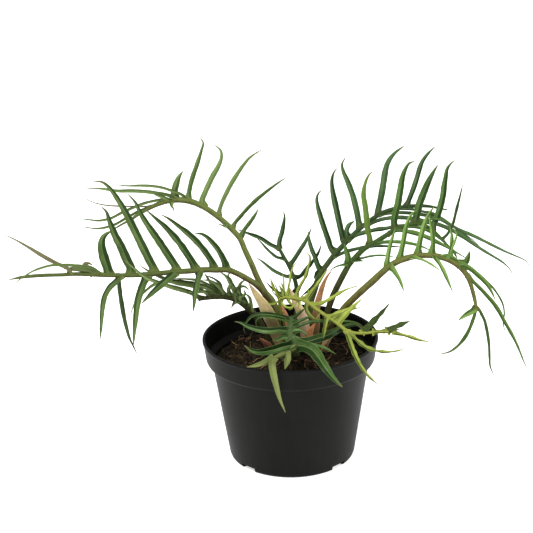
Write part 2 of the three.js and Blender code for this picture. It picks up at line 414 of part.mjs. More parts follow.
// A sheath is a dry or fleshy strip that once wrapped a leaf: seen width and [across, up, back] points.
const SHEATHS = {
  sheath_tan: [0xb9a878, 13, [11, -76, 3], [7, -62, 0], [3.5, -52, -3], [0, -43.5, -4], [-4.3, -35.5, -4],
    [-10, -27, -3.5], [-17.3, -15.5, -3]],
  sheath_salmon: [0xb97a58, 7.2, [45.5, -74, 3], [46.5, -42, 7], [49.8, -29, 10], [53.2, -19, 11.5],
    [57.3, -11, 13], [62.5, -4.5, 14]],
  sheath_rose: [0xc08a70, 5.6, [20, -79, 0], [19.5, -56, 0], [17.7, -47, 0], [15, -41, 0],
    [12.3, -34.5, 0]],
  sheath_beige: [0xb8a089, 11, [34, -77, 9], [33.5, -52, 11], [30.5, -42, 12], [26.5, -34, 14],
    [23.3, -26, 15], [21.3, -20.5, 15.5]],
  sheath_orange: [0xbd7d50, 9, [38, -82, -2], [37.3, -70, -9], [40.3, -62, -10], [45.5, -54.5, -9]],
  sheath_pink: [0xa86f5c, 7.5, [4, -82, 9], [-1.5, -74, -2], [-8.5, -67.5, -8]],
  sheath_straw: [0xd0b890, 6.5, [51, -82, -8], [55, -73.5, -16], [60, -67.5, -19.5], [66.5, -64.5, -21]],
};

// A point's sight line meets its depth.
function spot([across, up, back]) {
  const [sin, cos] = [Math.sin(EYE_PITCH), Math.cos(EYE_PITCH)];
  const slope = up / EYE_DISTANCE;
  const reach = (back + EYE_DISTANCE * cos) / (cos + slope * sin);
  return new THREE.Vector3(
    AIM.x + (reach * across) / EYE_DISTANCE,
    back,
    AIM.z + EYE_DISTANCE * sin + reach * (slope * cos - sin),
  );
}

const EYE = new THREE.Vector3(
  AIM.x,
  -EYE_DISTANCE * Math.cos(EYE_PITCH),
  AIM.z + EYE_DISTANCE * Math.sin(EYE_PITCH),
);

// Closed geometry as a solid for joining and cutting.
function solid(geometry) {
  const bare = new THREE.BufferGeometry();
  bare.setAttribute("position", geometry.getAttribute("position"));
  if (geometry.index) bare.setIndex(geometry.index);
  const merged = mergeVertices(bare, 1e-4);
  const triVerts = new Uint32Array(merged.index.array);
  return new wasm.Manifold(
    new wasm.Mesh({ numProp: 3, vertProperties: merged.attributes.position.array, triVerts }),
  );
}

function joined(solids) {
  return solids.reduce((all, next) => all.add(next));
}

function mesh(name, made, colour, roughness) {
  const { vertProperties, triVerts } = made.getMesh();
  const geometry = new THREE.BufferGeometry();
  geometry.setAttribute("position", new THREE.BufferAttribute(vertProperties, 3));
  geometry.setIndex(new THREE.BufferAttribute(triVerts, 1));
  geometry.computeVertexNormals();
  const material = new THREE.MeshStandardMaterial({ color: colour, roughness, metalness: 0 });
  const result = new THREE.Mesh(geometry, material);
  result.name = name;
  return result;
}

// A profile of [radius, height] pairs turned round the Z axis.
function turned(profile, sides) {
  const points = profile.map(([radius, height]) => new THREE.Vector2(radius, height));
  return new THREE.LatheGeometry(points, sides).rotateX(Math.PI / 2);
}

// Where a curve is at t, the way along it and the ways facing the eye and beside it, turned about it.
function frameAt(curve, t, turn) {
  const middle = curve.getPoint(t);
  const along = curve.getTangent(t);
  const facing = EYE.clone().sub(middle);
  facing.addScaledVector(along, -facing.dot(along)).normalize();
  facing.applyAxisAngle(along, turn);
  return { middle, along, facing, side: facing.clone().cross(along) };
}

// A unit prism bent along a curve: section(t) gives the half width, half thickness and turn there.
function swept(curve, outline, steps, section) {
  const geometry = new THREE.ExtrudeGeometry(outline, { steps, depth: 1, bevelEnabled: false });
  const position = geometry.getAttribute("position");
  for (let i = 0; i < position.count; i++) {
    const t = position.getZ(i);
    const { width, thickness, turn } = section(t);
    const { middle, facing, side } = frameAt(curve, t, turn);
    middle.addScaledVector(side, position.getX(i) * width);
    middle.addScaledVector(facing, position.getY(i) * thickness);
    position.setXYZ(i, middle.x, middle.y, middle.z);
  }
  return solid(geometry);
}

const LENS = new THREE.Shape([
  new THREE.Vector2(1, 0),
  new THREE.Vector2(0, 1),
  new THREE.Vector2(-1, 0),
  new THREE.Vector2(0, -1),
]);

const ROUND = new THREE.Shape(
  Array.from({ length: STALK_SIDES }, (_, i) => {
    const angle = (i / STALK_SIDES) * 2 * Math.PI;
    return new THREE.Vector2(Math.cos(angle), Math.sin(angle));
  }),
);

function curveThrough(points) {
  return new THREE.CatmullRomCurve3(points, false, "centripetal");
}

// A number that changes evenly from each point of a stalk to the next.
function between(numbers, t) {
  const place = t * (numbers.length - 1);
  const low = Math.min(Math.floor(place), numbers.length - 2);
  return THREE.MathUtils.lerp(numbers[low], numbers[low + 1], place - low);
}

// A leaflet turned from the eye until its true width shows as its seen width. It turns towards the
// plane that it and its stalk lie in.
function leafletSolid(root, rootWay, seenWidth, points, { breadth, base, full }) {
  const path = curveThrough([root, ...points.map(spot)]);
  const mostTurned = seenWidth > THREAD ? MOST_BREADTH : 1;
  const trueWidth = seenWidth * THREE.MathUtils.clamp(breadth / seenWidth, 1, mostTurned);
  const { facing, side } = frameAt(path, 0.5, 0);
  const aside = spot(points[0]).sub(root).cross(rootWay);
  const sign = Math.sign(facing.dot(aside) * side.dot(aside)) || 1;
  const turn = -sign * Math.acos(seenWidth / trueWidth);
  return swept(path, LENS, points.length + 2, (t) => {
    const narrowed = THREE.MathUtils.clamp((t - full) / (1 - full), 0, 1) ** TIP_POWER;
    const taper = (1 - TIP_LOSS * narrowed) * THREE.MathUtils.lerp(base, 1, Math.min(1, t / BASE_SHARE));
    return { width: (taper * trueWidth) / 2, thickness: ((0.5 + taper / 2) * BLADE_THICKNESS) / 2, turn };
  });
}

function leafSolid(leaf) {
  const { stalk, leaflets } = leaf;
  const rib = curveThrough(stalk.map(spot));
  const spans = stalk.length - 1;
  const radii = stalk.map((point) => point[3]);
  const pieces = [
    swept(rib, ROUND, 2 * spans, (t) => {
      const radius = between(radii, t);
      return { width: radius, thickness: radius, turn: 0 };
    }),
  ];
  for (const [place, seenWidth, ...points] of leaflets) {
    const at = place / spans;
    pieces.push(leafletSolid(rib.getPoint(at), rib.getTangent(at), seenWidth, points, leaf));
  }
  return joined(pieces);
}

function sheathSolid([, seenWidth, ...points]) {
  const path = curveThrough(points.map(spot));
  return swept(path, LENS, 2 * points.length, (t) => {
    const taper = (1 - t ** 3) * Math.min(1, 0.5 + 2 * t) + TIP;
    return { width: (taper * seenWidth) / 2, thickness: BLADE_THICKNESS * (1 - t / 2), turn: 0 };
  });
}

function bodyRadius(height) {
  const rise = (height - FOOT_ROUND) / (LEDGE - FOOT_ROUND);
  return THREE.MathUtils.lerp(BASE_RADIUS + FOOT_ROUND / 2, BODY_TOP_RADIUS, rise);
}

function innerRadius(height) {
  return bodyRadius(height) - WALL;
}

function potSolid() {
  const shell = turned(
    [
      [0, 0],
      [BASE_RADIUS - FOOT_ROUND / 2, 0],
      [BASE_RADIUS + FOOT_ROUND / 4, FOOT_ROUND / 4],
      [bodyRadius(FOOT_ROUND), FOOT_ROUND],
      [BODY_TOP_RADIUS, LEDGE],
      [BAND_FOOT_RADIUS - 1, BAND_FOOT - 0.5],
      [BAND_FOOT_RADIUS, BAND_FOOT + 1.5],
      [RIM_RADIUS - 0.8, POT_HEIGHT - LIP - 0.8],
      [RIM_RADIUS, POT_HEIGHT - LIP],
      [RIM_RADIUS, POT_HEIGHT],
      [RIM_RADIUS - LIP, POT_HEIGHT],
      [RIM_RADIUS - LIP - 0.6, POT_HEIGHT - LIP - 0.6],
      [BAND_FOOT_RADIUS - WALL, BAND_FOOT + 2],
      [innerRadius(LEDGE) + 0.5, LEDGE + 0.7],
      [innerRadius(LEDGE), LEDGE],
      [innerRadius(FLOOR + FOOT_ROUND), FLOOR + FOOT_ROUND],
      [innerRadius(FLOOR + FOOT_ROUND) - FOOT_ROUND, FLOOR],
      [0, FLOOR],
    ],
    POT_SIDES,
  );
  const slots = Array.from({ length: DRAIN_SLOTS }, (_, i) => {
    const slot = new THREE.BoxGeometry(2 * SLOT_DEPTH, SLOT_WIDTH, 2 * SLOT_HEIGHT);
    slot.translate(BASE_RADIUS, 0, 0);
    return solid(slot.rotateZ(((i + 0.5) / DRAIN_SLOTS) * 2 * Math.PI));
  });
  const holes = Array.from({ length: DRAIN_HOLES }, (_, i) => {
    const hole = new THREE.CylinderGeometry(HOLE_RADIUS, HOLE_RADIUS, 4 * FLOOR, 16);
    hole.rotateX(Math.PI / 2).translate(HOLE_CIRCLE, 0, 0);
    return solid(hole.rotateZ((i / DRAIN_HOLES) * 2 * Math.PI));
  });
  return solid(shell).subtract(joined([...slots, ...holes]));
}

function soilTop(radius) {
  return THREE.MathUtils.lerp(SOIL_MIDDLE, SOIL_EDGE, (radius / BODY_TOP_RADIUS) ** 2);
}

function soilSolid(lift) {
  const bottom = FLOOR + GAP;
  const edge = innerRadius(SOIL_EDGE) - GAP;
  const surface = [0.8, 0.5, 0.25].map((part) => [edge * part, soilTop(edge * part) + lift]);
  const profile = [
    [0, bottom],
    [innerRadius(bottom + FOOT_ROUND) - FOOT_ROUND - GAP, bottom],
    [innerRadius(bottom + FOOT_ROUND) - GAP, bottom + FOOT_ROUND + GAP],
    [edge, SOIL_EDGE + lift],
    ...surface,
    [0, SOIL_MIDDLE + lift],
  ];
  return solid(turned(profile, POT_SIDES));
}

// A crown is a short stub with a domed top, rooted in the soil.
function crownSolid([x, y], grow) {
  const radius = CROWN_RADIUS + grow;
  const top = SOIL_MIDDLE + CROWN_TOP + grow;
  const dome = [0.97, 0.8, 0.5].map((part) => {
    return [radius * part, top - CROWN_TOP + CROWN_TOP * Math.sqrt(1 - part * part)];
  });
  const root = SOIL_MIDDLE - CROWN_ROOT - grow;
  const profile = [[0, root], [radius * 0.7, root], [radius, root + CROWN_ROOT / 2], ...dome, [0, top]];
  return solid(turned(profile, CROWN_SIDES).translate(x, y, 0));
}

const group = new THREE.Group();
const crownPlaces = Object.values(CROWNS);
const ground = joined([soilSolid(GAP), ...crownPlaces.map((place) => crownSolid(place, GAP))]);

group.add(mesh("pot", potSolid(), 0x232221, 0.45));
const soilCut = joined(crownPlaces.map((place) => crownSolid(place, GAP)));
group.add(mesh("soil", soilSolid(0).subtract(soilCut), 0x33241b, 0.95));
for (const [name, place] of Object.entries(CROWNS)) {
  group.add(mesh(name, crownSolid(place, 0), 0x5a5230, 0.7));
}
for (const [name, leaf] of Object.entries(LEAVES)) {
  group.add(mesh(name, leafSolid(leaf).subtract(ground), leaf.colour, 0.4));
}
for (const [name, sheath] of Object.entries(SHEATHS)) {
  group.add(mesh(name, sheathSolid(sheath).subtract(ground), sheath[0], 0.6));
}

export default group;
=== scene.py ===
"""Looks of a potted philodendron tortum, in metres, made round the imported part.

Leaves, sheaths, crowns and fibres are sections swept along curves, and the pot and the soil are
profiles turned round the Z axis. The floor, the lights and the camera stand round them.
"""
import math

import bpy
import numpy as np
from mathutils import Matrix, Vector


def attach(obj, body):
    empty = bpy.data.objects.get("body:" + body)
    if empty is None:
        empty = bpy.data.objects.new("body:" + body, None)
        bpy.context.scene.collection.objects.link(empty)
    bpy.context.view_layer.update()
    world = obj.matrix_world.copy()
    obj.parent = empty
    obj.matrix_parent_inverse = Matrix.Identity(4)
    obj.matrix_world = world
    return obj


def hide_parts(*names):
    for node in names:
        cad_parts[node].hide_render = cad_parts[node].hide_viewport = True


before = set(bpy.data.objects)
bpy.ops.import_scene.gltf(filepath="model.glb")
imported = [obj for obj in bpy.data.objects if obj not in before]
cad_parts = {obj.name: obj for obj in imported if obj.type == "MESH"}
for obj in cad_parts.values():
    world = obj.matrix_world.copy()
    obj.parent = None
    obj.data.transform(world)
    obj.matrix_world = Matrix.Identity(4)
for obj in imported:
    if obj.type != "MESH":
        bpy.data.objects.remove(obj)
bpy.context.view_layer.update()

MM = 0.001
RNG = np.random.default_rng(11)

# Where the eye stands. Points of leaves and sheaths are sighted from here.
EYE_DISTANCE = 1200
EYE_PITCH = math.radians(19.3)
EYE_ROLL = math.radians(1.44)
AIM = np.array([-21.2, 0, 193.1])
BACK_DOWN = np.array([0, math.cos(EYE_PITCH), -math.sin(EYE_PITCH)])
EYE = AIM - EYE_DISTANCE * BACK_DOWN
PICTURE_PIXELS = 533
FOCAL_PIXELS = 1264
SENSOR = 36
VIEW_END = 60

# Pot, millimetres
POT_HEIGHT = 121.7
RIM_RADIUS = 85
BAND_HEIGHT = 21.5
BODY_TOP_RADIUS = 76.4
BASE_RADIUS = 60.5
FOOT_ROUND = 3
STEP = 5.6
BAND_FOOT = POT_HEIGHT - BAND_HEIGHT
BAND_FOOT_RADIUS = BODY_TOP_RADIUS + STEP
LEDGE = BAND_FOOT - 2
LIP = 2.4
WALL = 1.8
FLOOR = 2.4
EDGE_CUT = 0.7
DRAIN_SLOTS = 4
SLOT_WIDTH = 16
SLOT_HEIGHT = 4.5
AXIS_HOLE = 0.02
POT_SIDES = 180

# Soil and crowns, millimetres
SOIL_EDGE = 97
SOIL_MIDDLE = 101
SOIL_GAP = 0.35
SOIL_RINGS = 110
SOIL_SIDES = 300
SETTLED_EDGE = 2.5
LITTER_GAP = 4
CROWN_RADIUS = 9
CROWN_TOP = 8
CROWN_ROOT = 12
CROWN_RINGS = 26
CROWN_SIDES = 36
CROWNS = {"crown_left": (-16, 17), "crown_middle": (2, 4), "crown_right": (22, 11)}

# Light: strength of the room, glow of the floor, and the lamps in metres and watts
ROOM_LIGHT = 0.54
FLOOR_GLOW = 0.5
LAMPS = {
    "key_lamp": {"place": (-0.5, -0.8, 1.7), "target": (0, 0, 0.15), "size": 0.9, "power": 22.5},
    "side_lamp": {"place": (1.4, -0.5, 0.9), "target": (0, 0, 0.1), "size": 0.8, "power": 8},
}

# Floor sweep, metres
SWEEP_FLAT = 6
SWEEP_EDGE = 12
SWEEP_HEIGHT = 4
SWEEP_DROP = 0.0002
SWEEP_RINGS = 16
SWEEP_SIDES = 96

# Section of a blade or sheath from -1 to 1, closer together at the edges, and the walk round it: from
# the +1 edge over the top to -1, and back underneath
SECTION = np.sin(np.linspace(-math.pi / 2, math.pi / 2, 13))
ROUND_SECTION = np.concatenate([SECTION[::-1], SECTION[1:-1]])[None, :]
UNDERNEATH = np.concatenate([np.zeros(len(SECTION)), np.ones(len(SECTION) - 2)])[None, :]

# Stalks: steps from one point to the next, sides, and how far the folds of their leaflets differ
STALK_STEPS = 14
STALK_SIDES = 18
CUP_SPREAD = 0.1

# Leaflets: lengths in millimetres, shares of the length or breadth, and flares in stalk radii
BLADE_THICKNESS = 0.55
GROOVE_DEPTH = 0.16
KEEL_DEPTH = 0.35
THREAD = 1.6  # one that looks narrower is not turned, so it is no broader than it looks
MOST_BREADTH = 1.35
TURN_EASE = 0.3
FOLD_ROUND = 0.02
WAVE = 0.12
TIP_LOSS = 0.9
TIP_POWER = 1.9
BASE_SHARE = 0.2
RUFFLE = 0.04
FLARE_REACH = 1.9
FLARE_BREADTH = 0.8
FLARE_DEPTH = 0.5

# Sheaths: thickness in millimetres, and the rolled-in edge and the tip as shares of half the breadth
SHEATH_STEPS = 40
SHEATH_THICKNESS = 0.45
SHEATH_ROLL = 0.45
SHEATH_TIP = 0.03

# Leaf finishes: shine, how much of the leaf's green the stalk takes on, and the seen colours of the
# blade, its light tone (also painted on the half taken as lit), its underside (also its midrib, margins and
# painted highlight), the stalk and the stalk's lower side (browner, and darker as painted shade)
LEAF_COLOURS = {
    "olive": [0.5, 0.35, (52, 74, 32), (110, 130, 78), (138, 148, 106), (102, 108, 58), (82, 70, 42)],
    "green": [0.45, 0.4, (26, 48, 16), (80, 101, 52), (118, 133, 92), (92, 100, 54), (78, 64, 40)],
    "dark": [0.5, 0.15, (44, 58, 30), (112, 130, 82), (138, 152, 110), (58, 58, 32), (44, 38, 24)],
    "blue_green": [0.5, 0.9, (24, 45, 20), (76, 100, 62), (112, 130, 94), (80, 88, 48), (54, 54, 32)],
    "mid_green": [0.5, 0.85, (26, 46, 14), (82, 112, 54), (116, 138, 92), (72, 70, 42), (42, 38, 22)],
    "bright": [0.5, 0.15, (42, 70, 20), (114, 144, 74), (146, 164, 108), (100, 98, 54), (78, 62, 38)],
    "young": [0.6, 0.3, (52, 66, 14), (148, 160, 70), (194, 204, 128), (140, 144, 70), (106, 106, 48)],
    "glossy": [1.0, 0.2, (20, 42, 14), (68, 94, 46), (138, 158, 102), (84, 100, 64), (60, 74, 44)],
    "pale": [0.2, 0.2, (82, 92, 50), (114, 123, 74), (124, 132, 84), (104, 110, 66), (86, 90, 50)],
}
LEAF_SLOTS = {"leaf_young": "young_leaf", "leaf_front_low": "leaf_underside"}

# Seen colours of a sheath's body, edge, root and tip
SHEATH_COLOURS = {
    "sheath_tan": [(176, 156, 114), (208, 194, 152), (150, 138, 98), (136, 116, 88)],
    "sheath_salmon": [(184, 128, 94), (198, 150, 116), (104, 92, 56), (164, 78, 60)],
    "sheath_rose": [(212, 152, 122), (226, 178, 146), (160, 112, 82), (190, 120, 94)],
    "sheath_beige": [(240, 214, 188), (246, 230, 208), (214, 182, 148), (200, 154, 128)],
    "sheath_orange": [(222, 158, 112), (236, 188, 144), (196, 138, 92), (206, 132, 86)],
    "sheath_pink": [(186, 130, 104), (206, 158, 128), (132, 92, 70), (184, 120, 98)],
    "sheath_straw": [(214, 180, 140), (234, 208, 172), (170, 144, 104), (206, 172, 134)],
}

# Points of leaves and sheaths are [across, up, back] in millimetres, as sighted from the front.
# Across and up are read on a sheet through AIM that faces the eye. Back is the true distance
# behind the pot's axis, so a point is where its sight line meets that depth.
# A leaf has a stalk of [across, up, back, radius] points, and leaflets of
# [place along the stalk in points, seen width, point, point, ...]. Its `breadth` is how wide the leaflets
# really are: one that looks narrower is turned on its axis. They are folded by `cup`, start at `base` of
# their full breadth, narrow from `full` of their length to the tip, and their edges wander by `ruffle` of
# their breadth, or by RUFFLE. `tones` names leaflets whose shade isn't left to the pattern: 0 is dark,
# 1 light, -1 old dark green, 1.3 yellow and 2 dry.
LEAVES = {
    "leaf_left_high": {
        "skin": "olive", "breadth": 5.2, "cup": 0.45, "base": 0.85, "full": 0.4,
        "tones": {0: 0.1, 1: 0.8, 2: 0.9, 3: 0.2, 4: 0.3, 5: 0.2, 6: 0.8, 7: 0.9, 9: 0.5, 10: 2},
        "stalk": [
            [10, -76, 22, 3], [9.5, -52, 25, 3], [6, -35, 28, 3], [-3, -22.5, 30, 2.9], [-10, -8, 32, 2.9],
            [-13.5, 1, 33.5, 2.8], [-20, 16, 36, 2.7], [-24.5, 27, 38, 2.7], [-35, 39.3, 41, 2.7],
            [-45, 48.5, 43, 2.7], [-55, 56, 45, 2.7], [-65, 61.5, 46, 3], [-75, 64.7, 46, 3],
            [-86, 65.3, 46, 2.8], [-97, 63.3, 45, 2.4], [-107, 59.5, 44, 2], [-118, 54, 42, 1.7],
            [-126, 48.8, 40, 1.4], [-138, 42.5, 38, 0.9], [-152, 34.5, 35, 0.3],
        ],
        "leaflets": [
            [11.8, 4.4, [-72.3, 72, 50], [-70.6, 80, 54], [-68.1, 88, 59], [-65, 96, 63], [-62, 104, 67],
             [-59.2, 112, 70], [-57.3, 119, 71], [-59.9, 123.7, 72]],
            [10.3, 5.4, [-59.5, 64, 48], [-56.4, 72, 52], [-52.6, 80, 56], [-48.4, 88, 60], [-43.5, 96, 64],
             [-40.3, 104, 67], [-40.7, 111, 69], [-46.4, 116.7, 71]],
            [8.9, 4.2, [-43.2, 56, 46], [-40.2, 64, 51], [-36.1, 72, 55], [-31.7, 80, 59], [-26.4, 88, 63],
             [-20.6, 96, 67], [-13.3, 104, 70], [-2, 111, 72]],
            [7.7, 3.6, [-28.9, 43.1, 44], [-24.3, 48.4, 47], [-16.8, 56.4, 51], [-8.2, 64.3, 55],
             [2.4, 72.3, 58], [12.4, 79.1, 60], [20.9, 84.1, 62]],
            [7.1, 3.9, [-20.5, 36, 42], [-16.6, 40.8, 44], [-10.8, 48.3, 46], [-6, 55.5, 47]],
            [12.9, 6.4, [-85.6, 73, 49], [-83.8, 80, 51], [-81, 87, 53], [-77, 92.5, 54]],
            [11.8, 2.6, [-78, 70.4, 45], [-88, 74.7, 42], [-98, 78.1, 39], [-108, 79.7, 37], [-119, 80.2, 36],
             [-131, 80.1, 34], [-142, 81.6, 33]],
            [12.8, 3.4, [-90, 70, 43], [-100, 72.3, 40], [-111, 74.2, 38], [-125, 75.4, 36], [-140, 75.7, 33],
             [-155, 78, 30], [-170, 78.7, 28]],
            [13.2, 3, [-98, 69.3, 41], [-107, 72.3, 39]],
            [13.7, 2.6, [-98, 66, 43], [-108, 65, 41], [-116, 63, 40], [-124, 60, 39], [-131, 57.2, 37],
             [-138, 54, 36], [-145, 50.5, 34], [-151, 48.7, 33], [-159, 47.8, 31], [-168, 48.9, 29],
             [-178, 50, 28]],
            [15, 1.5, [-114, 59.8, 43], [-124, 60.2, 42], [-141, 61, 40], [-151, 62, 39], [-160, 64, 39],
             [-168, 67.5, 38], [-175, 72, 38]],
            [15.2, 2.5, [-118, 57, 42], [-125.5, 53.4, 40], [-135, 48.2, 38], [-142, 44.4, 35],
             [-149, 42, 33], [-158, 40.4, 32], [-167, 41, 30], [-175, 42.7, 29]],
            [8.2, 1.6, [-38, 39, 36], [-42, 40.5, 34], [-47, 42.3, 33]],
            [13.2, 1.6, [-88.5, 60, 43], [-87, 57, 42], [-87.4, 53.7, 41]],
        ],
    },
    "leaf_left_front": {
        "skin": "green", "breadth": 7, "cup": -0.5, "base": 0.95, "full": 0.25,
        "tones": {0: 0.2, 1: 0, 2: 0.4, 3: 0.3, 4: 0, 5: 0.1, 6: 0.2, 7: 2, 8: 1.7, 9: 2, 10: 1.6, 11: 0.4,
                  12: -0.5, 13: 0.7, 14: 0.3, 15: 0.1},
        "stalk": [
            [6.5, -78, 14, 3.1], [6, -56, 12, 3.1], [3.5, -38, 10, 3], [-1, -28, 8, 3], [-6, -21, 6.5, 2.9],
            [-12, -15.5, 5, 2.9], [-20, -10.4, 3, 2.9], [-29, -5.4, 1.5, 2.8], [-37, -2.2, 0, 2.8],
            [-47, -2, -1.5, 2.8], [-58, -1.6, -3, 2.8], [-70, -2.2, -4, 2.7], [-80, -2.6, -5, 2.6],
            [-92, -3.2, -6.5, 2.5], [-104, -4, -8, 2.5], [-116, -4.8, -9, 2.4], [-128, -5, -10, 2.3],
            [-140, -4.8, -11, 2.1], [-152, -4.6, -12, 1.9], [-165, -3.6, -13, 1.9], [-180, -2.6, -14, 1.9],
            [-195, -3, -15, 1.7], [-210, -3, -15.5, 1.8], [-223, -3.5, -16, 1.7], [-234, -4.5, -16.5, 1.4],
            [-245, -6.5, -17, 0.3],
        ],
        "leaflets": [
            [17.8, 9.4, [-151.1, 3, -10], [-153, 9, -9], [-154.9, 16, -8], [-156, 24, -6], [-154.5, 31, -3],
             [-150.7, 35, -1], [-145.7, 37.5, 1]],
            [16.1, 8.6, [-129, 2.5, -9], [-131.6, 8, -8], [-135, 16, -6], [-138.3, 24, -4], [-142.4, 32, -2],
             [-145.5, 40, 0], [-148.3, 48, 3], [-150.6, 55.5, 5], [-154.8, 60.3, 6]],
            [14.2, 7.9, [-107.7, 2, -7], [-110.7, 8, -6], [-114.4, 16, -4], [-121.8, 32, 0], [-125.5, 40, 2],
             [-133.2, 56, 5], [-142.5, 72, 8], [-148.7, 80, 9], [-154.7, 84.3, 10], [-161.7, 85, 10]],
            [12.4, 7.2, [-86.8, 3, -5], [-89.8, 8, -4], [-94.8, 16, -2], [-99.8, 24, 0], [-105, 32, 2],
             [-110.3, 40, 3], [-115.3, 48, 5], [-119.5, 56, 6], [-123, 64, 7], [-129.8, 72, 8]],
            [10.7, 6.7, [-69.3, 3, -3], [-72.2, 8, -2], [-77.1, 16, 0], [-82.3, 24, 1], [-88.6, 32, 3],
             [-95.5, 40, 4], [-104, 48, 5], [-113.3, 57, 6]],
            [9.2, 6, [-51.2, 3, -2], [-53.9, 8, -1], [-59.1, 16, 1], [-65.4, 24, 2], [-73.1, 32, 3],
             [-82.5, 40, 4], [-91.7, 47.5, 5], [-98.7, 51.7, 6]],
            [8.1, 5.4, [-40.2, 4, 0], [-42.2, 9, 0], [-45.8, 16, 1], [-51.2, 23.5, 2], [-56.7, 29.5, 3],
             [-62.2, 32.5, 3], [-67.7, 32.5, 3]],
            [18.7, 4.6, [-166, 0.5, -13], [-173.3, 4.3, -12], [-172.8, 7.3, -11], [-168.5, 7.7, -10],
             [-165, 5.5, -9]],
            [18.9, 5.5, [-168, -1, -14], [-179, 1.5, -15], [-192.5, 2.6, -16.4]],
            [20.4, 3.6, [-188, 1.5, -16], [-196, 5.6, -16.5], [-204, 9.6, -17], [-213, 15, -17.5],
             [-225, 23, -18], [-236, 30, -18], [-247, 36, -18]],
            [18.2, 2.4, [-165, 1.7, -16], [-175, 4.4, -18], [-185, 5.4, -20], [-195, 6, -22],
             [-205, 5.7, -24], [-214, 3.6, -25], [-222, 0.8, -26.5], [-229, -3.2, -27], [-236, -7.6, -28],
             [-243, -13.6, -29]],
            [16.8, 5.2, [-143.8, -10, -15], [-150, -15.5, -18], [-154.7, -23.5, -21], [-156.9, -32, -23.5],
             [-158, -42, -25.5], [-158.9, -54, -27.5], [-159.8, -66, -28]],
            [17, 4.2, [-141.2, -12, -8], [-140.8, -20, -6], [-139.3, -32, -5], [-137.4, -44, -4],
             [-134.7, -56, -3], [-132.1, -65, -3], [-128.8, -72, -2], [-125, -80, -2]],
            [14.7, 6.6, [-116.2, -10, -12], [-119, -16, -14], [-121.9, -24, -17], [-123.9, -32, -19.5],
             [-125.5, -44, -22], [-126.8, -56, -24.5], [-128.3, -72, -27]],
            [12.6, 6.8, [-91, -6.7, -13], [-97.8, -12.2, -17], [-105.5, -18.8, -21.5], [-112.8, -25.5, -25],
             [-119.5, -32.2, -27]],
            [10.5, 5.2, [-65.8, -8, -8], [-68, -16, -11], [-69.5, -24, -13], [-70, -32, -15],
             [-71, -41.5, -16]],
        ],
    },
    "leaf_left_low": {
        "skin": "dark", "breadth": 5, "cup": 0.4, "base": 0.95, "full": 0.3,
        "tones": {0: 0.6, 1: 0.4, 2: 0.9, 3: 0.2, 4: 0.5, 6: 0.8, 9: 0.9, 11: 0.7, 13: 1.1, 14: 0.6},
        "stalk": [
            [2, -78, 20, 3.2], [-4, -60, 23, 3.2], [-13, -45, 25.5, 3.3], [-22, -35.5, 26.5, 3.4],
            [-32, -29.5, 27, 3.1], [-42, -27.6, 26, 2.6], [-53, -27.8, 25, 2.3], [-64.5, -29.3, 23.5, 1.9],
        ],
        "leaflets": [
            [6.8, 4.6, [-72, -22.8, 15], [-82, -19.3, 6], [-92, -16.3, -3], [-101, -13, -10],
             [-110, -9.5, -16], [-118, -5, -20], [-126, 2, -23], [-134.5, 9.5, -26]],
            [5.3, 4.8, [-55, -19.5, 22], [-67, -15.3, 18], [-80, -12.7, 12], [-92, -10.5, 6], [-104, -6, 2],
             [-112, -1.5, 0], [-121, 4.6, -1]],
            [5, 2.8, [-55, -15.8, 24], [-66, -11, 21], [-78, -9.6, 15], [-90, -9, 9]],
            [4.8, 3.8, [-49, -18.5, 25], [-54.3, -12, 25], [-59, -4.8, 25]],
            [3.4, 5.6, [-30, -24, 25.5], [-34, -15.5, 25.5], [-38.5, -8.5, 25], [-44, -4.3, 24]],
            [3.2, 4, [-26, -21, 25], [-24.5, -15.5, 24], [-19.5, -11.5, 22]],
            [6, 3.2, [-66, -18, 17], [-82, -14.5, 9], [-98, -11, 1], [-108, -14.5, -3], [-117, -21.5, -5],
             [-126, -31.5, -7], [-131, -45, -8]],
            [3, 3, [-25, -29.5, 24], [-20.5, -25.5, 22], [-22.5, -21, 20]],
            [3.6, 3.2, [-31, -23, 25], [-26.5, -18.3, 24], [-20.5, -18.5, 22], [-17, -22.5, 21]],
            [4, 3.6, [-36, -21.5, 26], [-33.5, -14, 26], [-36.5, -7.5, 26], [-33, -4, 26]],
            [4.4, 2.8, [-42, -21, 25], [-44.5, -14.5, 25], [-51, -9.5, 25], [-59, -7, 24]],
            [5.2, 3.2, [-52, -24.5, 24], [-60, -22, 20], [-69, -22.5, 15], [-77, -21.5, 9]],
            [2.6, 3.2, [-21, -30, 25], [-26, -24, 25], [-33, -17, 25], [-36, -12, 25]],
            [2.3, 3.2, [-15, -34.5, 22], [-17, -28, 20], [-22, -24.5, 19]],
            [4.6, 3.4, [-42, -22, 22], [-47, -16, 21], [-54, -12, 20], [-62, -11, 18]],
            [3.4, 1.8, [-31, -34, 24], [-34.5, -38.5, 22]],
        ],
    },
    "leaf_middle_back": {
        "skin": "blue_green", "breadth": 4.6, "cup": 0.45, "base": 0.9, "full": 0.35,
        "stalk": [
            [26, -79, 15, 2.6], [27, -52, 37, 2.4], [28.3, -26, 43, 2.2], [27, -15, 44, 2.1],
            [24.5, -8, 45, 2], [21.3, 0, 47, 1.9], [17, 8, 49, 1.8], [12.5, 16.5, 52, 1.7],
        ],
        "leaflets": [
            [7, 4.7, [13, 24, 54], [15.5, 32, 57], [17.3, 40, 59], [18.3, 47.5, 61], [17.3, 52, 62]],
            [7, 4, [4, 20.5, 53], [-5, 26.7, 52], [-15, 31, 51], [-21, 33.3, 50], [-27, 36, 49]],
            [5.8, 2.8, [10, 8, 47], [0.8, 16, 46], [-4.5, 22.5, 45], [-8.5, 27, 44]],
            [3.8, 3.6, [20, -10.5, 43], [13, -8, 41], [6, -4, 39], [1.2, 0, 39], [-4, 4.7, 38],
             [-9.5, 8.7, 38]],
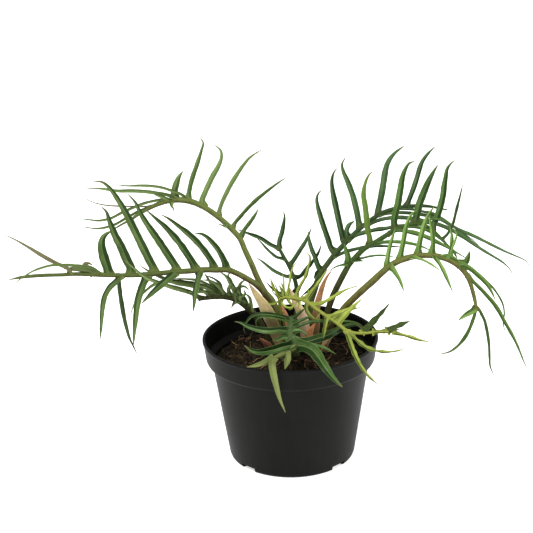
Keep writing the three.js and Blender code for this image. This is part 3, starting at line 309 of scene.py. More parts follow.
            [5, 4.4, [26, 6, 50], [32.6, 15.7, 52], [37.5, 23, 54], [41, 30, 56], [43.6, 35.8, 57]],
            [3.6, 3.6, [31.3, -9.5, 46], [36.3, -4, 49], [41.3, 1.5, 50], [45.8, 7, 52], [49.8, 13, 53],
             [52.8, 20.5, 55]],
            [2.3, 2.8, [18, -27, 40], [8, -23, 38], [4, -19.7, 38], [-1, -14, 37]],
        ],
    },
    "leaf_right_back": {
        "skin": "blue_green", "breadth": 5.6, "cup": 0.5, "base": 0.9, "full": 0.45,
        "stalk": [
            [40.5, -78, 19, 2.9], [40.5, -50, 27, 3.1], [41.2, -35, 32, 3.3], [44.6, -24, 35.5, 3.3],
            [48.9, -13, 38, 3], [53.3, -5, 40, 2.8], [58.5, 1.8, 42, 2.7], [65, 9.8, 44, 2.6],
            [72, 17, 47, 2.6], [80, 25, 49, 2.5], [90, 34, 51, 2.4], [100, 41.5, 53, 2.3],
            [110, 47.5, 54.5, 2.2], [122, 51.5, 55, 2.2], [135, 53.6, 55, 2.1], [153, 53.6, 54, 1.7],
            [173, 49.4, 52, 0.6],
        ],
        "leaflets": [
            [4.9, 4.6, [49.5, 0, 42], [46.8, 8, 43], [43.6, 16, 44], [41.5, 24, 44], [40.5, 32, 45]],
            [7.2, 5.5, [62, 16, 48], [59.5, 24, 52], [56.9, 32, 55], [54.4, 40, 58], [52.2, 48, 61],
             [50.2, 56, 63], [49.4, 63, 65], [50.7, 67.5, 67], [54.2, 71.5, 68]],
            [8.6, 6.2, [73.6, 24, 52], [71.7, 32, 55], [70.1, 40, 59], [68.6, 48, 62], [67.1, 56, 65],
             [65.6, 64, 68], [64.4, 72, 71], [64.1, 80, 73], [65.9, 87, 75], [69.1, 91.5, 76]],
            [9, 4.4, [77.5, 31, 54], [79.5, 37, 57], [84.5, 41, 58]],
            [10, 6, [88.6, 40, 54], [87.4, 48, 58], [85.8, 56, 62], [84, 64, 66], [81.5, 72, 69],
             [78.6, 80, 72], [75.3, 88, 75], [74.1, 95, 77], [77.3, 101.5, 78]],
            [11.8, 6.3, [107.5, 51, 57], [108.7, 56, 60], [110.5, 64, 63], [112.2, 72, 66], [113.6, 80, 69],
             [115.1, 88, 72], [117.8, 96, 75], [123.8, 104, 78], [133.5, 111.3, 81]],
            [13.9, 5, [136.2, 57.5, 57], [139.2, 64, 60], [142.4, 72, 64], [145.2, 80, 68], [147.7, 88, 71],
             [150.8, 96, 74], [156.5, 103.6, 77], [163, 110, 79]],
            [6.8, 3.2, [70, 9.3, 43], [78, 12, 42], [86, 13.9, 40], [95, 15.4, 38], [105, 16.2, 37],
             [115, 16, 36], [129, 15.2, 34]],
            [8.8, 3.8, [85, 26.5, 47], [95, 29.7, 45], [105, 31.8, 44], [115, 33, 43], [127, 35.5, 41],
             [138, 36.5, 40]],
            [10.4, 3.8, [96, 36.7, 50], [105, 39.9, 49], [115, 42, 48], [128, 42.5, 46], [140, 41, 44],
             [155, 37.2, 42], [165, 34.7, 40], [177, 29.2, 38], [185, 24.3, 37], [195, 17.4, 35.5],
             [205, 10.3, 34], [215, 4.1, 32.5], [225, -2.5, 31], [231, -8.8, 29], [233.5, -13.8, 28]],
            [11.8, 3.3, [118, 47.3, 52], [135, 46.8, 50], [150, 44.5, 48], [163, 41.3, 46], [175, 34.7, 44],
             [185, 29, 42], [195, 24.6, 41], [205, 19.6, 40], [215, 14.3, 38], [226, 8.7, 37], [236, 4.2, 35],
             [243, 1, 34], [247, -1.8, 33.5], [249.5, -7, 33]],
            [13, 2.5, [132, 51, 52], [142, 50, 50], [150, 48, 49], [160, 45.5, 48.5], [172, 38, 48],
             [185, 27.8, 47.5], [195, 21.2, 47], [202, 15, 46]],
            [4.2, 2.4, [46.5, -15.3, 37], [41, -21.5, 36], [36.5, -25.5, 35], [31.5, -29.5, 34]],
            [4.5, 4, [46.3, -11.5, 39], [44.6, -12, 39]],
        ],
    },
    "leaf_right_middle": {
        "skin": "mid_green", "breadth": 5.8, "cup": 0.5, "base": 0.9, "full": 0.45,
        "tones": {1: 1.1, 5: -0.5},
        "stalk": [
            [47, -79, 12, 2.9], [53, -56, 15, 3], [58, -41, 17, 3], [61.3, -32, 18.5, 3.1],
            [65, -24, 19.5, 3], [69.5, -15.5, 20.5, 3], [73.7, -8, 21.5, 2.9], [79, 0.5, 22.5, 2.8],
            [85, 7, 23, 2.6], [94, 15, 23.5, 2.5], [104, 20.5, 24, 2.4], [114, 26.5, 24.5, 2.3],
            [124, 32.5, 25, 2.1], [134, 36, 24, 1.9], [143, 37, 23, 1.8], [152, 34.8, 22, 1.7],
            [160, 29.3, 19, 1.5], [167, 22, 16, 1.3], [175, 13, 13, 1.1], [189, 3.5, 8, 0.4],
        ],
        "leaflets": [
            [6.9, 5, [78, 7.5, 25], [76.5, 13, 28], [74.5, 19.7, 30]],
            [9.4, 5.4, [99, 24, 26], [97.7, 32, 29], [96.9, 40, 31], [96.3, 48, 34], [95.5, 56, 36],
             [94.3, 64, 39], [94.9, 72, 41], [97.2, 80, 44], [100.4, 85.5, 45], [103, 87.5, 46]],
            [11.9, 6.5, [122.1, 39, 27], [123.8, 48, 30], [126.2, 56, 32], [127.7, 64, 35], [129.3, 72, 37],
             [130.8, 80, 39], [133.6, 88, 42], [137.9, 94.5, 44], [143, 96.3, 45]],
            [13.8, 7, [143.1, 43, 26], [144.9, 49, 28], [146.8, 56, 31], [150, 64, 34], [153.4, 72, 37],
             [157.4, 80, 40], [162.1, 88, 43], [165, 92, 45]],
            [15.8, 6, [160.1, 37, 23], [162.9, 42.5, 26], [164.9, 48, 28], [167.4, 56, 32], [169.4, 64, 35],
             [170.5, 72, 38], [172.1, 80, 40], [173.7, 88, 42], [177.1, 93, 44], [181.1, 96.3, 45]],
            [17.1, 2.7, [173, 28, 22], [177.6, 36.5, 28], [180.6, 47, 31], [183.2, 56, 33], [185.6, 64, 35],
             [188.2, 73.5, 36]],
            [9.9, 3.2, [106, 19.3, 21], [115, 19.7, 18], [125, 19.6, 15], [135, 18.3, 12], [145, 16, 10],
             [156, 11.3, 6]],
            [11.2, 3.8, [125, 30.5, 22], [135, 29, 19], [145, 26.4, 16.5], [155, 22.3, 13], [165, 17.2, 9.5],
             [174, 12.5, 6], [187, 4.5, 2]],
            [12.4, 2.8, [134, 34, 22], [142, 33.5, 21], [149, 31.8, 20], [156, 28.8, 18], [165, 22.4, 14],
             [173, 14.5, 10]],
            [14, 2.2, [150, 38.7, 24], [158, 40.5, 24], [167, 39.3, 23], [178, 34.5, 22]],
            [17.9, 2.4, [178, 9, 11], [181, 3.3, 9]],
            [6.9, 1.6, [72, -0.3, 20], [65, -2.3, 19], [59, -6.3, 18]],
            [7.4, 1.9, [85, 3.2, 21], [93, 2.7, 19]],
            [7.6, 2, [90, 5.2, 21], [100, 7.2, 19.5], [108, 7.7, 18], [115, 7.2, 16.5], [123, 5.5, 15]],
        ],
    },
    "leaf_right_front": {
        "skin": "bright", "breadth": 4.6, "cup": 0.45, "base": 0.95, "full": 0.35,
        "tones": {0: 0.4, 1: 0.3, 2: 0.4, 3: 0.3, 4: 0.7, 5: 0.9, 6: -0.3, 7: 0, 8: 0.8, 9: 1, 10: 0.4,
                  11: 0.1, 12: -0.4, 13: -0.2, 14: -0.4, 15: -0.5, 16: 0.5},
        "stalk": [
            [46, -84, 0, 2.9], [58, -60, -6, 2.9], [74, -40, -12, 3.2], [83, -31.5, -15, 3.2],
            [92, -23.5, -18, 3.2], [101, -16, -21, 3.2], [110, -8, -24, 3.1], [117, -2.5, -26, 3],
            [126, 2.2, -28, 2.9], [136, 5.2, -30, 2.9], [146, 6.8, -31.5, 2.8], [156, 6.6, -33, 2.8],
            [165, 5, -34, 2.8], [175, 1.2, -35.5, 2.8], [183, -4.5, -37, 2.7], [189, -11.5, -38, 2.4],
            [192.5, -19, -38.5, 2.1], [195, -28, -39, 1.8], [197, -37, -39.5, 1.7], [198, -44, -40, 1.5],
        ],
        "leaflets": [
            [6.7, 3.8, [115.7, 5, -24], [116.6, 10, -23], [118.2, 17, -21], [120.4, 24, -19],
             [123.5, 34, -17]],
            [8.1, 4.5, [127.8, 8, -27], [129.7, 16, -25], [131.4, 24, -23], [133, 32, -21], [135.5, 40, -19],
             [139, 46, -17], [144.5, 50.3, -15]],
            [9.8, 4.9, [144.5, 12, -29], [145.7, 18, -27], [147.3, 25, -25], [149.4, 32, -23],
             [151.8, 39, -21], [155.5, 46, -19], [161, 53.7, -17]],
            [11.1, 4.4, [157, 11, -32], [158.3, 17, -30], [158.2, 24, -28.5], [157.5, 32, -27],
             [156.4, 38, -26], [156, 44.5, -25]],
            [12.8, 3.2, [174, 9, -34], [175.3, 16, -32], [176.2, 24, -30], [175, 34, -28]],
            [12.9, 2.2, [176, 12, -34], [179.3, 20, -33], [181, 26, -34], [178.5, 31.5, -34]],
            [13.8, 5.8, [189.5, 0, -36], [191.6, 4.5, -35.5], [193.4, 9.9, -35]],
            [12.2, 3.4, [171, 6, -36], [177, 4.3, -37], [184.5, -0.5, -38]],
            [7.1, 3.6, [120.5, -5, -30], [123.5, -10, -33], [126.7, -16, -35], [130, -27, -38]],
            [9.2, 2.2, [142, 4.3, -36], [148, 2.3, -39], [154.5, -1, -43], [160, -4.7, -45],
             [165.5, -9, -47]],
            [11.4, 3.3, [161, 2.5, -38], [164, -1.7, -41], [167.4, -8, -44], [170.8, -16, -47],
             [176.2, -29, -50]],
            [13.7, 4.4, [188, -3.2, -40], [195, -7.8, -43], [200, -12.2, -45], [205, -17.2, -46],
             [210, -23.4, -48], [214, -31, -49], [216.3, -37.5, -50]],
            [13.9, 1.9, [199, -11.5, -38], [209.4, -20.5, -41], [217, -29.7, -43], [223, -41, -45.5],
             [224.4, -50, -47], [223.2, -60, -48.5], [226, -71, -50]],
            [15.2, 3.4, [195, -18, -40], [201.3, -24, -42], [208.6, -32, -44], [215.2, -40, -46],
             [220.3, -48, -47], [224.2, -56, -48.5], [228.5, -64, -50], [232.6, -72, -51.5],
             [236.2, -80, -52.5], [239.2, -88, -53.5], [242, -96, -54.5], [245.5, -104, -55]],
            [19, 3.2, [196, -50, -41], [193.7, -56, -42.5], [190.4, -64, -44], [185.7, -72, -45.5],
             [179.3, -79.5, -47.5], [171.9, -84.8, -49], [161.6, -87.5, -50]],
            [19, 2.7, [201.1, -46.5, -40.5], [203.6, -50.7, -41], [206.2, -56.7, -42], [207.8, -64, -43],
             [209, -72, -43.5], [209.7, -80, -44.5], [209.8, -92, -45.5], [210.1, -100, -46],
             [213.6, -109.5, -47]],
            [19, 5.4, [194, -47.3, -41.5], [188, -50.7, -44], [181, -55.5, -46]],
        ],
    },
    "leaf_young": {
        "skin": "young", "breadth": 3.8, "cup": 0.5, "base": 1, "full": 0.2, "ruffle": 0.2,
        "tones": {2: 0, 18: -1, 19: -0.8, 20: 0.1, 21: -0.5},
        "stalk": [
            [20, -82, 6, 2.2], [17, -58, 6, 2], [12, -40, 4, 1.8], [13, -31.5, 2, 1.8], [19, -29.7, -1, 2],
            [27, -31, -6, 2], [34, -32.7, -11, 1.8], [40, -36, -16, 1.8], [46, -41.3, -21, 1.7],
            [52, -45.8, -25, 1.7], [57, -49.5, -29, 1.8], [63, -53.5, -33, 1.8], [69, -58.5, -37, 1.8],
            [74, -62.5, -40, 1.8], [83, -65.3, -42, 1.6], [94, -65.3, -44, 1.5], [105, -64.2, -45, 1.4],
            [118, -65, -47, 1.3],
        ],
        "leaflets": [
            [3.1, 3.4, [9, -24, 4], [5.8, -18, 6], [3.2, -11, 8]],
            [3, 1.8, [9, -28, 0], [5.5, -24, -1], [5, -20, -1]],
            [3.7, 2.8, [14.5, -23, 4], [11.2, -17.5, 5]],
            [3.7, 2.3, [16.3, -20, 4], [16.3, -14, 6], [15.2, -7, 8]],
            [4.1, 2.8, [20, -24, 1], [20.3, -18, 3]],
            [4.3, 2.5, [20.7, -21, 2], [22.5, -13, 5], [23.7, -6, 7], [26, 0, 8], [30.5, 4.5, 9]],
            [5, 3.6, [29, -25, -1], [32.5, -18, 2], [37, -10.5, 5], [40, -1, 8], [41.5, 8, 10],
             [38, 13.3, 11]],
            [6.4, 3.6, [41, -27, -10], [47, -19.5, -9], [52.5, -12, -7.5], [58, -3.7, -6]],
            [7.2, 3.4, [48, -37.6, -17], [55, -34.8, -16], [62, -31.2, -15], [69, -27, -14], [77, -23.2, -14],
             [88, -20.3, -14]],
            [3, 2.3, [7, -34.7, -4], [1.5, -35, -7], [-0.3, -32.3, -7]],
            [3, 2.4, [13.5, -36, -6], [18, -39.6, -9], [23, -39.7, -11], [27, -36, -11], [28.2, -31.5, -10]],
            [6.7, 3.2, [37, -40.5, -17], [39.5, -46, -21], [44.5, -50.5, -25], [51.5, -52, -28]],
            [10, 3.3, [55.3, -55, -34], [53.5, -62, -37], [52.2, -70, -40]],
            [10.1, 4, [64, -46.8, -32], [73, -44, -33], [88.5, -41, -34]],
            [11.5, 4.8, [71, -50.5, -35], [78, -43.3, -36], [83.8, -37.8, -37], [90, -32.8, -38]],
            [10.7, 3.4, [67, -48, -33], [76, -42.5, -34], [85, -40.3, -35]],
            [13, 4.2, [76.5, -70, -48], [79.7, -80, -58], [83.7, -90, -66], [88, -98, -71],
             [93.5, -105.5, -73], [104, -116, -73]],
            [13.2, 3.7, [82, -70, -46], [89, -76.5, -50], [97, -81.2, -53], [110, -83.8, -55],
             [122, -83.2, -56], [132, -80.3, -56]],
            [14.5, 6.4, [95.4, -59.2, -42], [102.4, -52.2, -42], [109.1, -45.5, -42], [115.7, -38, -42]],
            [16.6, 6.2, [119, -61.3, -47], [126, -58.3, -47.5], [135, -55.2, -48]],
            [17, 3.6, [126, -67.4, -48], [135, -70, -49.5], [143, -73, -51], [153.5, -75.6, -52]],
            [15.4, 4.2, [105, -64.6, -45], [114, -64, -46], [125, -63, -47]],
            [3.4, 2, [12, -27, 3], [9.5, -21.5, 4], [7, -15.5, 5]],
            [3.9, 1.7, [17.5, -26, 2], [15.5, -20.5, 4], [13, -13.5, 5]],
            [4.2, 1.8, [21.5, -34, -4], [24.5, -37.5, -7], [22, -41.5, -9], [18, -40, -9]],
            [5.3, 1.8, [31, -35.5, -10], [30, -40.5, -13], [33.5, -43.5, -15]],
            [5.7, 1.8, [36, -30, -10], [39.5, -25.5, -9], [38.5, -20.5, -8]],
            [7.5, 1.8, [49, -46, -24], [46.5, -50.5, -27], [49.5, -55, -29]],
        ],
    },
    "leaf_front": {
        "skin": "glossy", "breadth": 6, "cup": 0.4, "base": 1, "full": 0.35,
        "tones": {0: 0.1, 1: 0.6, 2: 0.1, 3: 0.4, 4: 0.35, 5: 0, 6: 0.2},
        "stalk": [
            [28, -85, -1, 2.4], [28, -64, 1, 2.2], [23, -50.5, -5, 2.2], [21.8, -58, -18, 2.9],
            [21, -66, -30, 3.7], [24, -75, -42, 3.6],
        ],
        "leaflets": [
            [5, 8, [13, -77, -50], [3, -79.6, -55], [-7, -81, -58], [-15, -79.8, -58], [-23, -74.5, -57]],
            [5, 10.6, [34, -76.5, -50], [41.5, -80.5, -60], [47.5, -88, -74], [54.5, -99, -87],
             [61.5, -108.5, -91.5], [69, -116, -92]],
            [4.8, 8, [35, -72.5, -41], [45, -70, -36], [55, -67.2, -31], [63, -63.5, -28], [71, -59.5, -26.5],
             [79, -57.3, -26], [85, -57.8, -28], [89.5, -61.5, -30]],
            [3.3, 3, [30, -57.5, -18], [39, -54.3, -18], [52, -53.7, -17.5], [66, -54, -17], [79, -54.6, -18],
             [87, -57, -20], [90.5, -61, -22]],
            [3.6, 6, [11, -60.5, -26], [1, -61, -28], [-9, -59.6, -27], [-18, -56.8, -25], [-26, -52.7, -22],
             [-31.5, -51.5, -20]],
            [2.3, 3, [12, -47.7, -9], [2, -45.8, -9], [-8, -45.2, -9.5], [-15, -47.3, -11], [-20, -52, -13],
             [-23, -58.5, -15], [-21.5, -63.5, -16]],
            [2.5, 2.8, [9, -49.5, -11], [0, -48, -12], [-9, -48.5, -12], [-11.5, -53, -13],
             [-10, -57.5, -14]],
            [2.2, 2.8, [27.5, -47.5, -3], [36, -40.5, 2]],
            [2.9, 3.2, [29, -53.5, -13], [36, -50.5, -12], [42, -48.5, -12]],
            [3.8, 3, [30, -62, -28], [38, -67.5, -34]],
            [5, 3.2, [42, -76, -48], [52, -78.5, -50], [64, -85, -55]],
            [4.4, 3.4, [14, -68.5, -34], [8, -70.5, -38], [4, -69.5, -40]],
        ],
    },
    "leaf_front_low": {
        "skin": "pale", "breadth": 6, "cup": -0.35, "base": 1.1, "full": 0.1,
        "tones": {3: 0.2},
        "stalk": [
            [21, -87, -7, 2.2], [21.5, -82.6, -30, 2], [19, -83, -48, 2.1], [13, -83.8, -62, 2.3],
            [4, -87.5, -72, 1.9],
        ],
        "leaflets": [
            [4, 5.6, [-4, -91, -79], [-12, -93.5, -84], [-21, -95, -88]],
            [4, 6.6, [3, -94, -86], [4.2, -103, -91], [6.5, -114, -93], [9.5, -126, -93], [14.5, -139, -93]],
            [2.7, 7.5, [17.5, -88, -64], [15, -98, -72]],
            [2, 2.4, [27.5, -78.5, -48], [24.5, -75, -52.5], [20.8, -78.5, -54], [24, -81.5, -54]],
        ],
    },
}

# A sheath is a dry or fleshy strip that once wrapped a leaf: seen width and [across, up, back] points.
SHEATHS = {
    "sheath_tan": [13, [11, -76, 3], [7, -62, 0], [3.5, -52, -3], [0, -43.5, -4], [-4.3, -35.5, -4],
                   [-10, -27, -3.5], [-17.3, -15.5, -3]],
    "sheath_salmon": [7.2, [45.5, -74, 3], [46.5, -42, 7], [49.8, -29, 10], [53.2, -19, 11.5],
                      [57.3, -11, 13], [62.5, -4.5, 14]],
    "sheath_rose": [5.6, [20, -79, 0], [19.5, -56, 0], [17.7, -47, 0], [15, -41, 0], [12.3, -34.5, 0]],
    "sheath_beige": [11, [34, -77, 9], [33.5, -52, 11], [30.5, -42, 12], [26.5, -34, 14], [23.3, -26, 15],
                     [21.3, -20.5, 15.5]],
    "sheath_orange": [9, [38, -82, -2], [37.3, -70, -9], [40.3, -62, -10], [45.5, -54.5, -9]],
    "sheath_pink": [7.5, [4, -82, 9], [-1.5, -74, -2], [-8.5, -67.5, -8]],
    "sheath_straw": [6.5, [51, -82, -8], [55, -73.5, -16], [60, -67.5, -19.5], [66.5, -64.5, -21]],
}


def sight(points):
    """Points [across, up, back] in millimetres as places in metres: each is where the line from the eye
    through (across, up) on the sheet meets the plane that lies `back` behind the pot's axis."""
    across, up, back = np.asarray(points, float)[:, :3].T
    sine, cosine = math.sin(EYE_PITCH), math.cos(EYE_PITCH)
    slope = up / EYE_DISTANCE
    reach = (back + EYE_DISTANCE * cosine) / (cosine + slope * sine)
    x = AIM[0] + reach * across / EYE_DISTANCE
    z = AIM[2] + EYE_DISTANCE * sine + reach * (slope * cosine - sine)
    return np.stack([x, back, z], axis=1) * MM


def unit(vectors):
    """Vectors divided by their lengths."""
    return vectors / np.linalg.norm(vectors, axis=-1, keepdims=True)


def smooth_curve(points, steps=12):
    """Centripetal Catmull-Rom curve: on each span a cubic Hermite whose end slopes weigh the
    neighbouring chords by the square roots of their lengths."""
    ends = np.concatenate([2 * points[:1] - points[1:2], points, 2 * points[-1:] - points[-2:-1]])
    chord = np.diff(ends, axis=0)
    gap = np.sqrt(np.linalg.norm(chord, axis=1))[:, None]
    before, here, after = gap[:-2], gap[1:-1], gap[2:]
    middle = chord[1:-1] / here
    leave = chord[:-2] / before - (chord[:-2] + chord[1:-1]) / (before + here) + middle
    arrive = middle - (chord[1:-1] + chord[2:]) / (here + after) + chord[2:] / after
    t = np.linspace(0, 1, steps, endpoint=False)[None, :, None]
    start, stop = points[:-1, None], points[1:, None]
    spans = (
        start * (2 * t**3 - 3 * t**2 + 1)
        + (here * leave)[:, None] * (t**3 - 2 * t**2 + t)
        + stop * (3 * t**2 - 2 * t**3)
        + (here * arrive)[:, None] * (t**3 - t**2)
    )
    return np.concatenate([spans.reshape(-1, points.shape[1]), points[-1:]])


def step_lengths(path):
    """The length of each step between a path's points."""
    return np.linalg.norm(np.diff(path[:, :3], axis=0), axis=1)


def even(path, count):
    """The path's first three columns and any others, read at `count` evenly spaced lengths."""
    length = np.concatenate([[0], np.cumsum(step_lengths(path))])
    wanted = np.linspace(0, length[-1], count)
    return np.stack([np.interp(wanted, length, column) for column in path.T], axis=1)


def smoothstep(x, low, high):
    """0 below low, 1 above high, and an S-curve 3t^2 - 2t^3 between."""
    t = np.clip((x - low) / (high - low), 0, 1)
    return t * t * (3 - 2 * t)


def ripple(places, size, seed, waves=14):
    """Smooth noise from -1 to 1: the mean of sine waves in fixed random directions, about `size` long."""
    random = np.random.default_rng(seed)
    directions = unit(random.normal(size=(waves, places.shape[-1])))
    lengths = size * random.uniform(0.6, 1.6, waves)
    phases = random.uniform(0, 2 * math.pi, waves)
    turns = places @ directions.T * (2 * math.pi / lengths) + phases
    return np.sin(turns).sum(axis=-1) / math.sqrt(waves)


def one_turn(count):
    """Angles of one turn, evenly spaced."""
    return np.linspace(0, 2 * math.pi, count, endpoint=False)


def turned(radius, angle, height):
    """Places at radii, angles and heights about the Z axis."""
    return np.stack(np.broadcast_arrays(radius * np.cos(angle), radius * np.sin(angle), height), axis=-1)


class Skin:
    """Gathers closed surfaces and their painted values, then makes one object of them."""

    def __init__(self):
        self.points = []
        self.faces = []
        self.values = []
        self.count = 0

    def add(self, points, *faces, **values):
        """Adds points (n, 3), arrays of faces as corner indices, and for each name a painted value or one
        per point."""
        for block in faces:
            self.faces += (block + self.count).tolist()
        self.points.append(points)
        self.values.append({name: np.broadcast_to(value, len(points)) for name, value in values.items()})
        self.count += len(points)

    def add_rings(self, rings, **values):
        """Adds the closed skin over rings (n, around, 3): quads between rings and a face at each end.
        A ring runs counter-clockwise about the way from the first ring to the last."""
        shape = rings.shape[:2]
        index = np.arange(shape[0] * shape[1]).reshape(shape)
        beside = np.roll(index, -1, axis=1)
        quads = np.stack([index[:-1], beside[:-1], beside[1:], index[1:]], axis=-1).reshape(-1, 4)
        values = {name: np.broadcast_to(value, shape).ravel() for name, value in values.items()}
        self.add(rings.reshape(-1, 3), quads, index[:1, ::-1], index[-1:], **values)

    def add_strip(self, path, side, facing, half, top, bottom, **values):
        """Adds a strip along a path: `half` is half its breadth, and `top` and `bottom` are how far its two
        faces stand out at each place of SECTION."""
        rise = np.concatenate([top[:, ::-1], bottom[:, 1:-1]], axis=1)[..., None]
        beside = (ROUND_SECTION * half)[..., None]
        rings = path[:, None] + side[:, None] * beside + facing[:, None] * rise
        self.add_rings(rings, across=ROUND_SECTION, **values)

    def make(self, name, material, crease):
        """Makes the object: smooth but for edges sharper than `crease` degrees, with its painted values as
        attributes."""
        mesh = bpy.data.meshes.new(name)
        mesh.from_pydata(np.concatenate(self.points).tolist(), [], self.faces)
        for key in self.values[0]:
            layer = mesh.attributes.new(key, "FLOAT", "POINT")
            layer.data.foreach_set("value", np.concatenate([v[key] for v in self.values]).astype(np.float32))
        mesh.polygons.foreach_set("use_smooth", np.ones(len(mesh.polygons), bool))
        mesh.set_sharp_from_angle(angle=math.radians(crease))
        mesh.materials.append(material)
        made = bpy.data.objects.new(name, mesh)
        bpy.context.collection.objects.link(made)
        return made

    def finish(self, name, material, slot, *nodes, crease=50):
        """Makes a piece that rides on the root body and stands for the named nodes."""
        piece = self.make(name, material, crease)
        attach(piece, "root")
        if nodes:
            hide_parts(*nodes)


def facing_frames(path, turn, aside):
    """For each point of a path, the unit vectors beside it and facing the eye, both turned about the way
    along it by `turn` towards the plane whose normal is `aside`."""
    along = unit(np.gradient(path, axis=0))
    to_eye = EYE * MM - path
    facing = unit(to_eye - (to_eye * along).sum(-1, keepdims=True) * along)
    side = np.cross(facing, along)
    sign = np.sign((facing * aside).sum() * (side * aside).sum()) or 1
    cosine, sine = np.cos(sign * turn), np.sin(sign * turn)
    return cosine * side - sine * facing, cosine * facing + sine * side


def add_leaflet(skin, root, root_radius, aside, points, seen_width, leaf, cup, tone):
    """A leaflet from the stalk at `root` through the sighted points. Its section is a thin lens from -1 to
    1 across, folded along the midrib by cup * sqrt(s^2 + FOLD_ROUND), with a keel below and a groove above.
    Its breadth grows from `base` to 1 over BASE_SHARE of the length, falls as 1 - TIP_LOSS t^TIP_POWER
    from `full` on, and flares where the leaflet joins the stalk."""
    path = even(smooth_curve(np.concatenate([root[None], sight(points)])), 12 + 7 * len(points))
    share = np.linspace(0, 1, len(path))[:, None]
    reach = share * step_lengths(path).sum()
    most = MOST_BREADTH if seen_width > THREAD else 1
    true_width = seen_width * np.clip(leaf["breadth"] / seen_width, 1, most)
    turn = math.acos(seen_width / true_width)
    side, facing = facing_frames(path, turn * (1 - TURN_EASE * share), aside)
    narrowed = np.clip((share - leaf["full"]) / (1 - leaf["full"]), 0, 1) ** TIP_POWER
    width = true_width * MM * (1 - TIP_LOSS * narrowed)
    width = width * (leaf["base"] + (1 - leaf["base"]) * smoothstep(share, 0, BASE_SHARE))
    width = width * (1 + leaf.get("ruffle", RUFFLE) * ripple(path / MM, 9, 3)[:, None])
    flare = root_radius * np.exp(-((reach / (FLARE_REACH * root_radius)) ** 2))
    half = width / 2 + FLARE_BREADTH * flare
    thick = np.minimum(BLADE_THICKNESS * MM / 2, half * 0.5) + FLARE_DEPTH * flare
    s = SECTION[None, :]
    wave = WAVE * ripple(path / MM, 13, 4)[:, None] * s * smoothstep(share, 0.1, 0.4)
    lift = half * (cup * np.sqrt(s**2 + FOLD_ROUND) * smoothstep(share, 0, 0.15) + wave)
    rim = np.sqrt(np.clip(1 - s**2, 0, 1))
    slender = np.minimum(1, half / MM)
    top = lift + thick * rim - GROOVE_DEPTH * MM * np.exp(-((s / 0.16) ** 2)) * slender
    bottom = lift - thick * rim - KEEL_DEPTH * MM * np.exp(-((s / 0.2) ** 2)) * slender
    skin.add_strip(path, side, facing, half, top, bottom,
                   along=share, reach=reach, under=UNDERNEATH, blade=1, tone=tone)


def add_stalk(skin, rib, radii):
    """A round stalk along the rib, whose radius ripples a little and is a tenth less along the top, as a
    shallow groove."""
    share = np.linspace(0, 1, len(rib))[:, None]
    reach = share * step_lengths(rib).sum()
    side, facing = facing_frames(rib, 0 * share, np.array([0, 0, 1.0]))
    angle = one_turn(STALK_SIDES)[None, :]
    out = np.cos(angle)[..., None] * side[:, None] + np.sin(angle)[..., None] * facing[:, None]
    top = np.clip(out[..., 2], -1, 1)
    radius = radii * (1 + 0.03 * ripple(rib / MM, 14, 5)[:, None]) * (1 - 0.1 * smoothstep(top, 0.9, 1))
    rings = rib[:, None] + out * radius[..., None]
    skin.add_rings(rings, across=np.cos(angle), along=share, reach=reach, under=0.5 - 0.5 * top, blade=0,
                   tone=0.5)


class Value:
    """A socket that reads like a number: arithmetic on it adds Math nodes."""

    def __init__(self, maker, socket):
        self.maker = maker
        self.socket = socket

    def math(self, operation, *others):
        return self.maker.node("ShaderNodeMath", {"operation": operation}, dict(enumerate((self, *others))))

    def __add__(self, other):
        return self.math("ADD", other)

    __radd__ = __add__

    def __sub__(self, other):
        return self.math("SUBTRACT", other)

    def __rsub__(self, other):
        return self.maker.node("ShaderNodeMath", {"operation": "SUBTRACT"}, {0: other, 1: self})

    def __mul__(self, other):
        return self.math("MULTIPLY", other)

    __rmul__ = __mul__

    def __abs__(self):
        return self.math("ABSOLUTE")


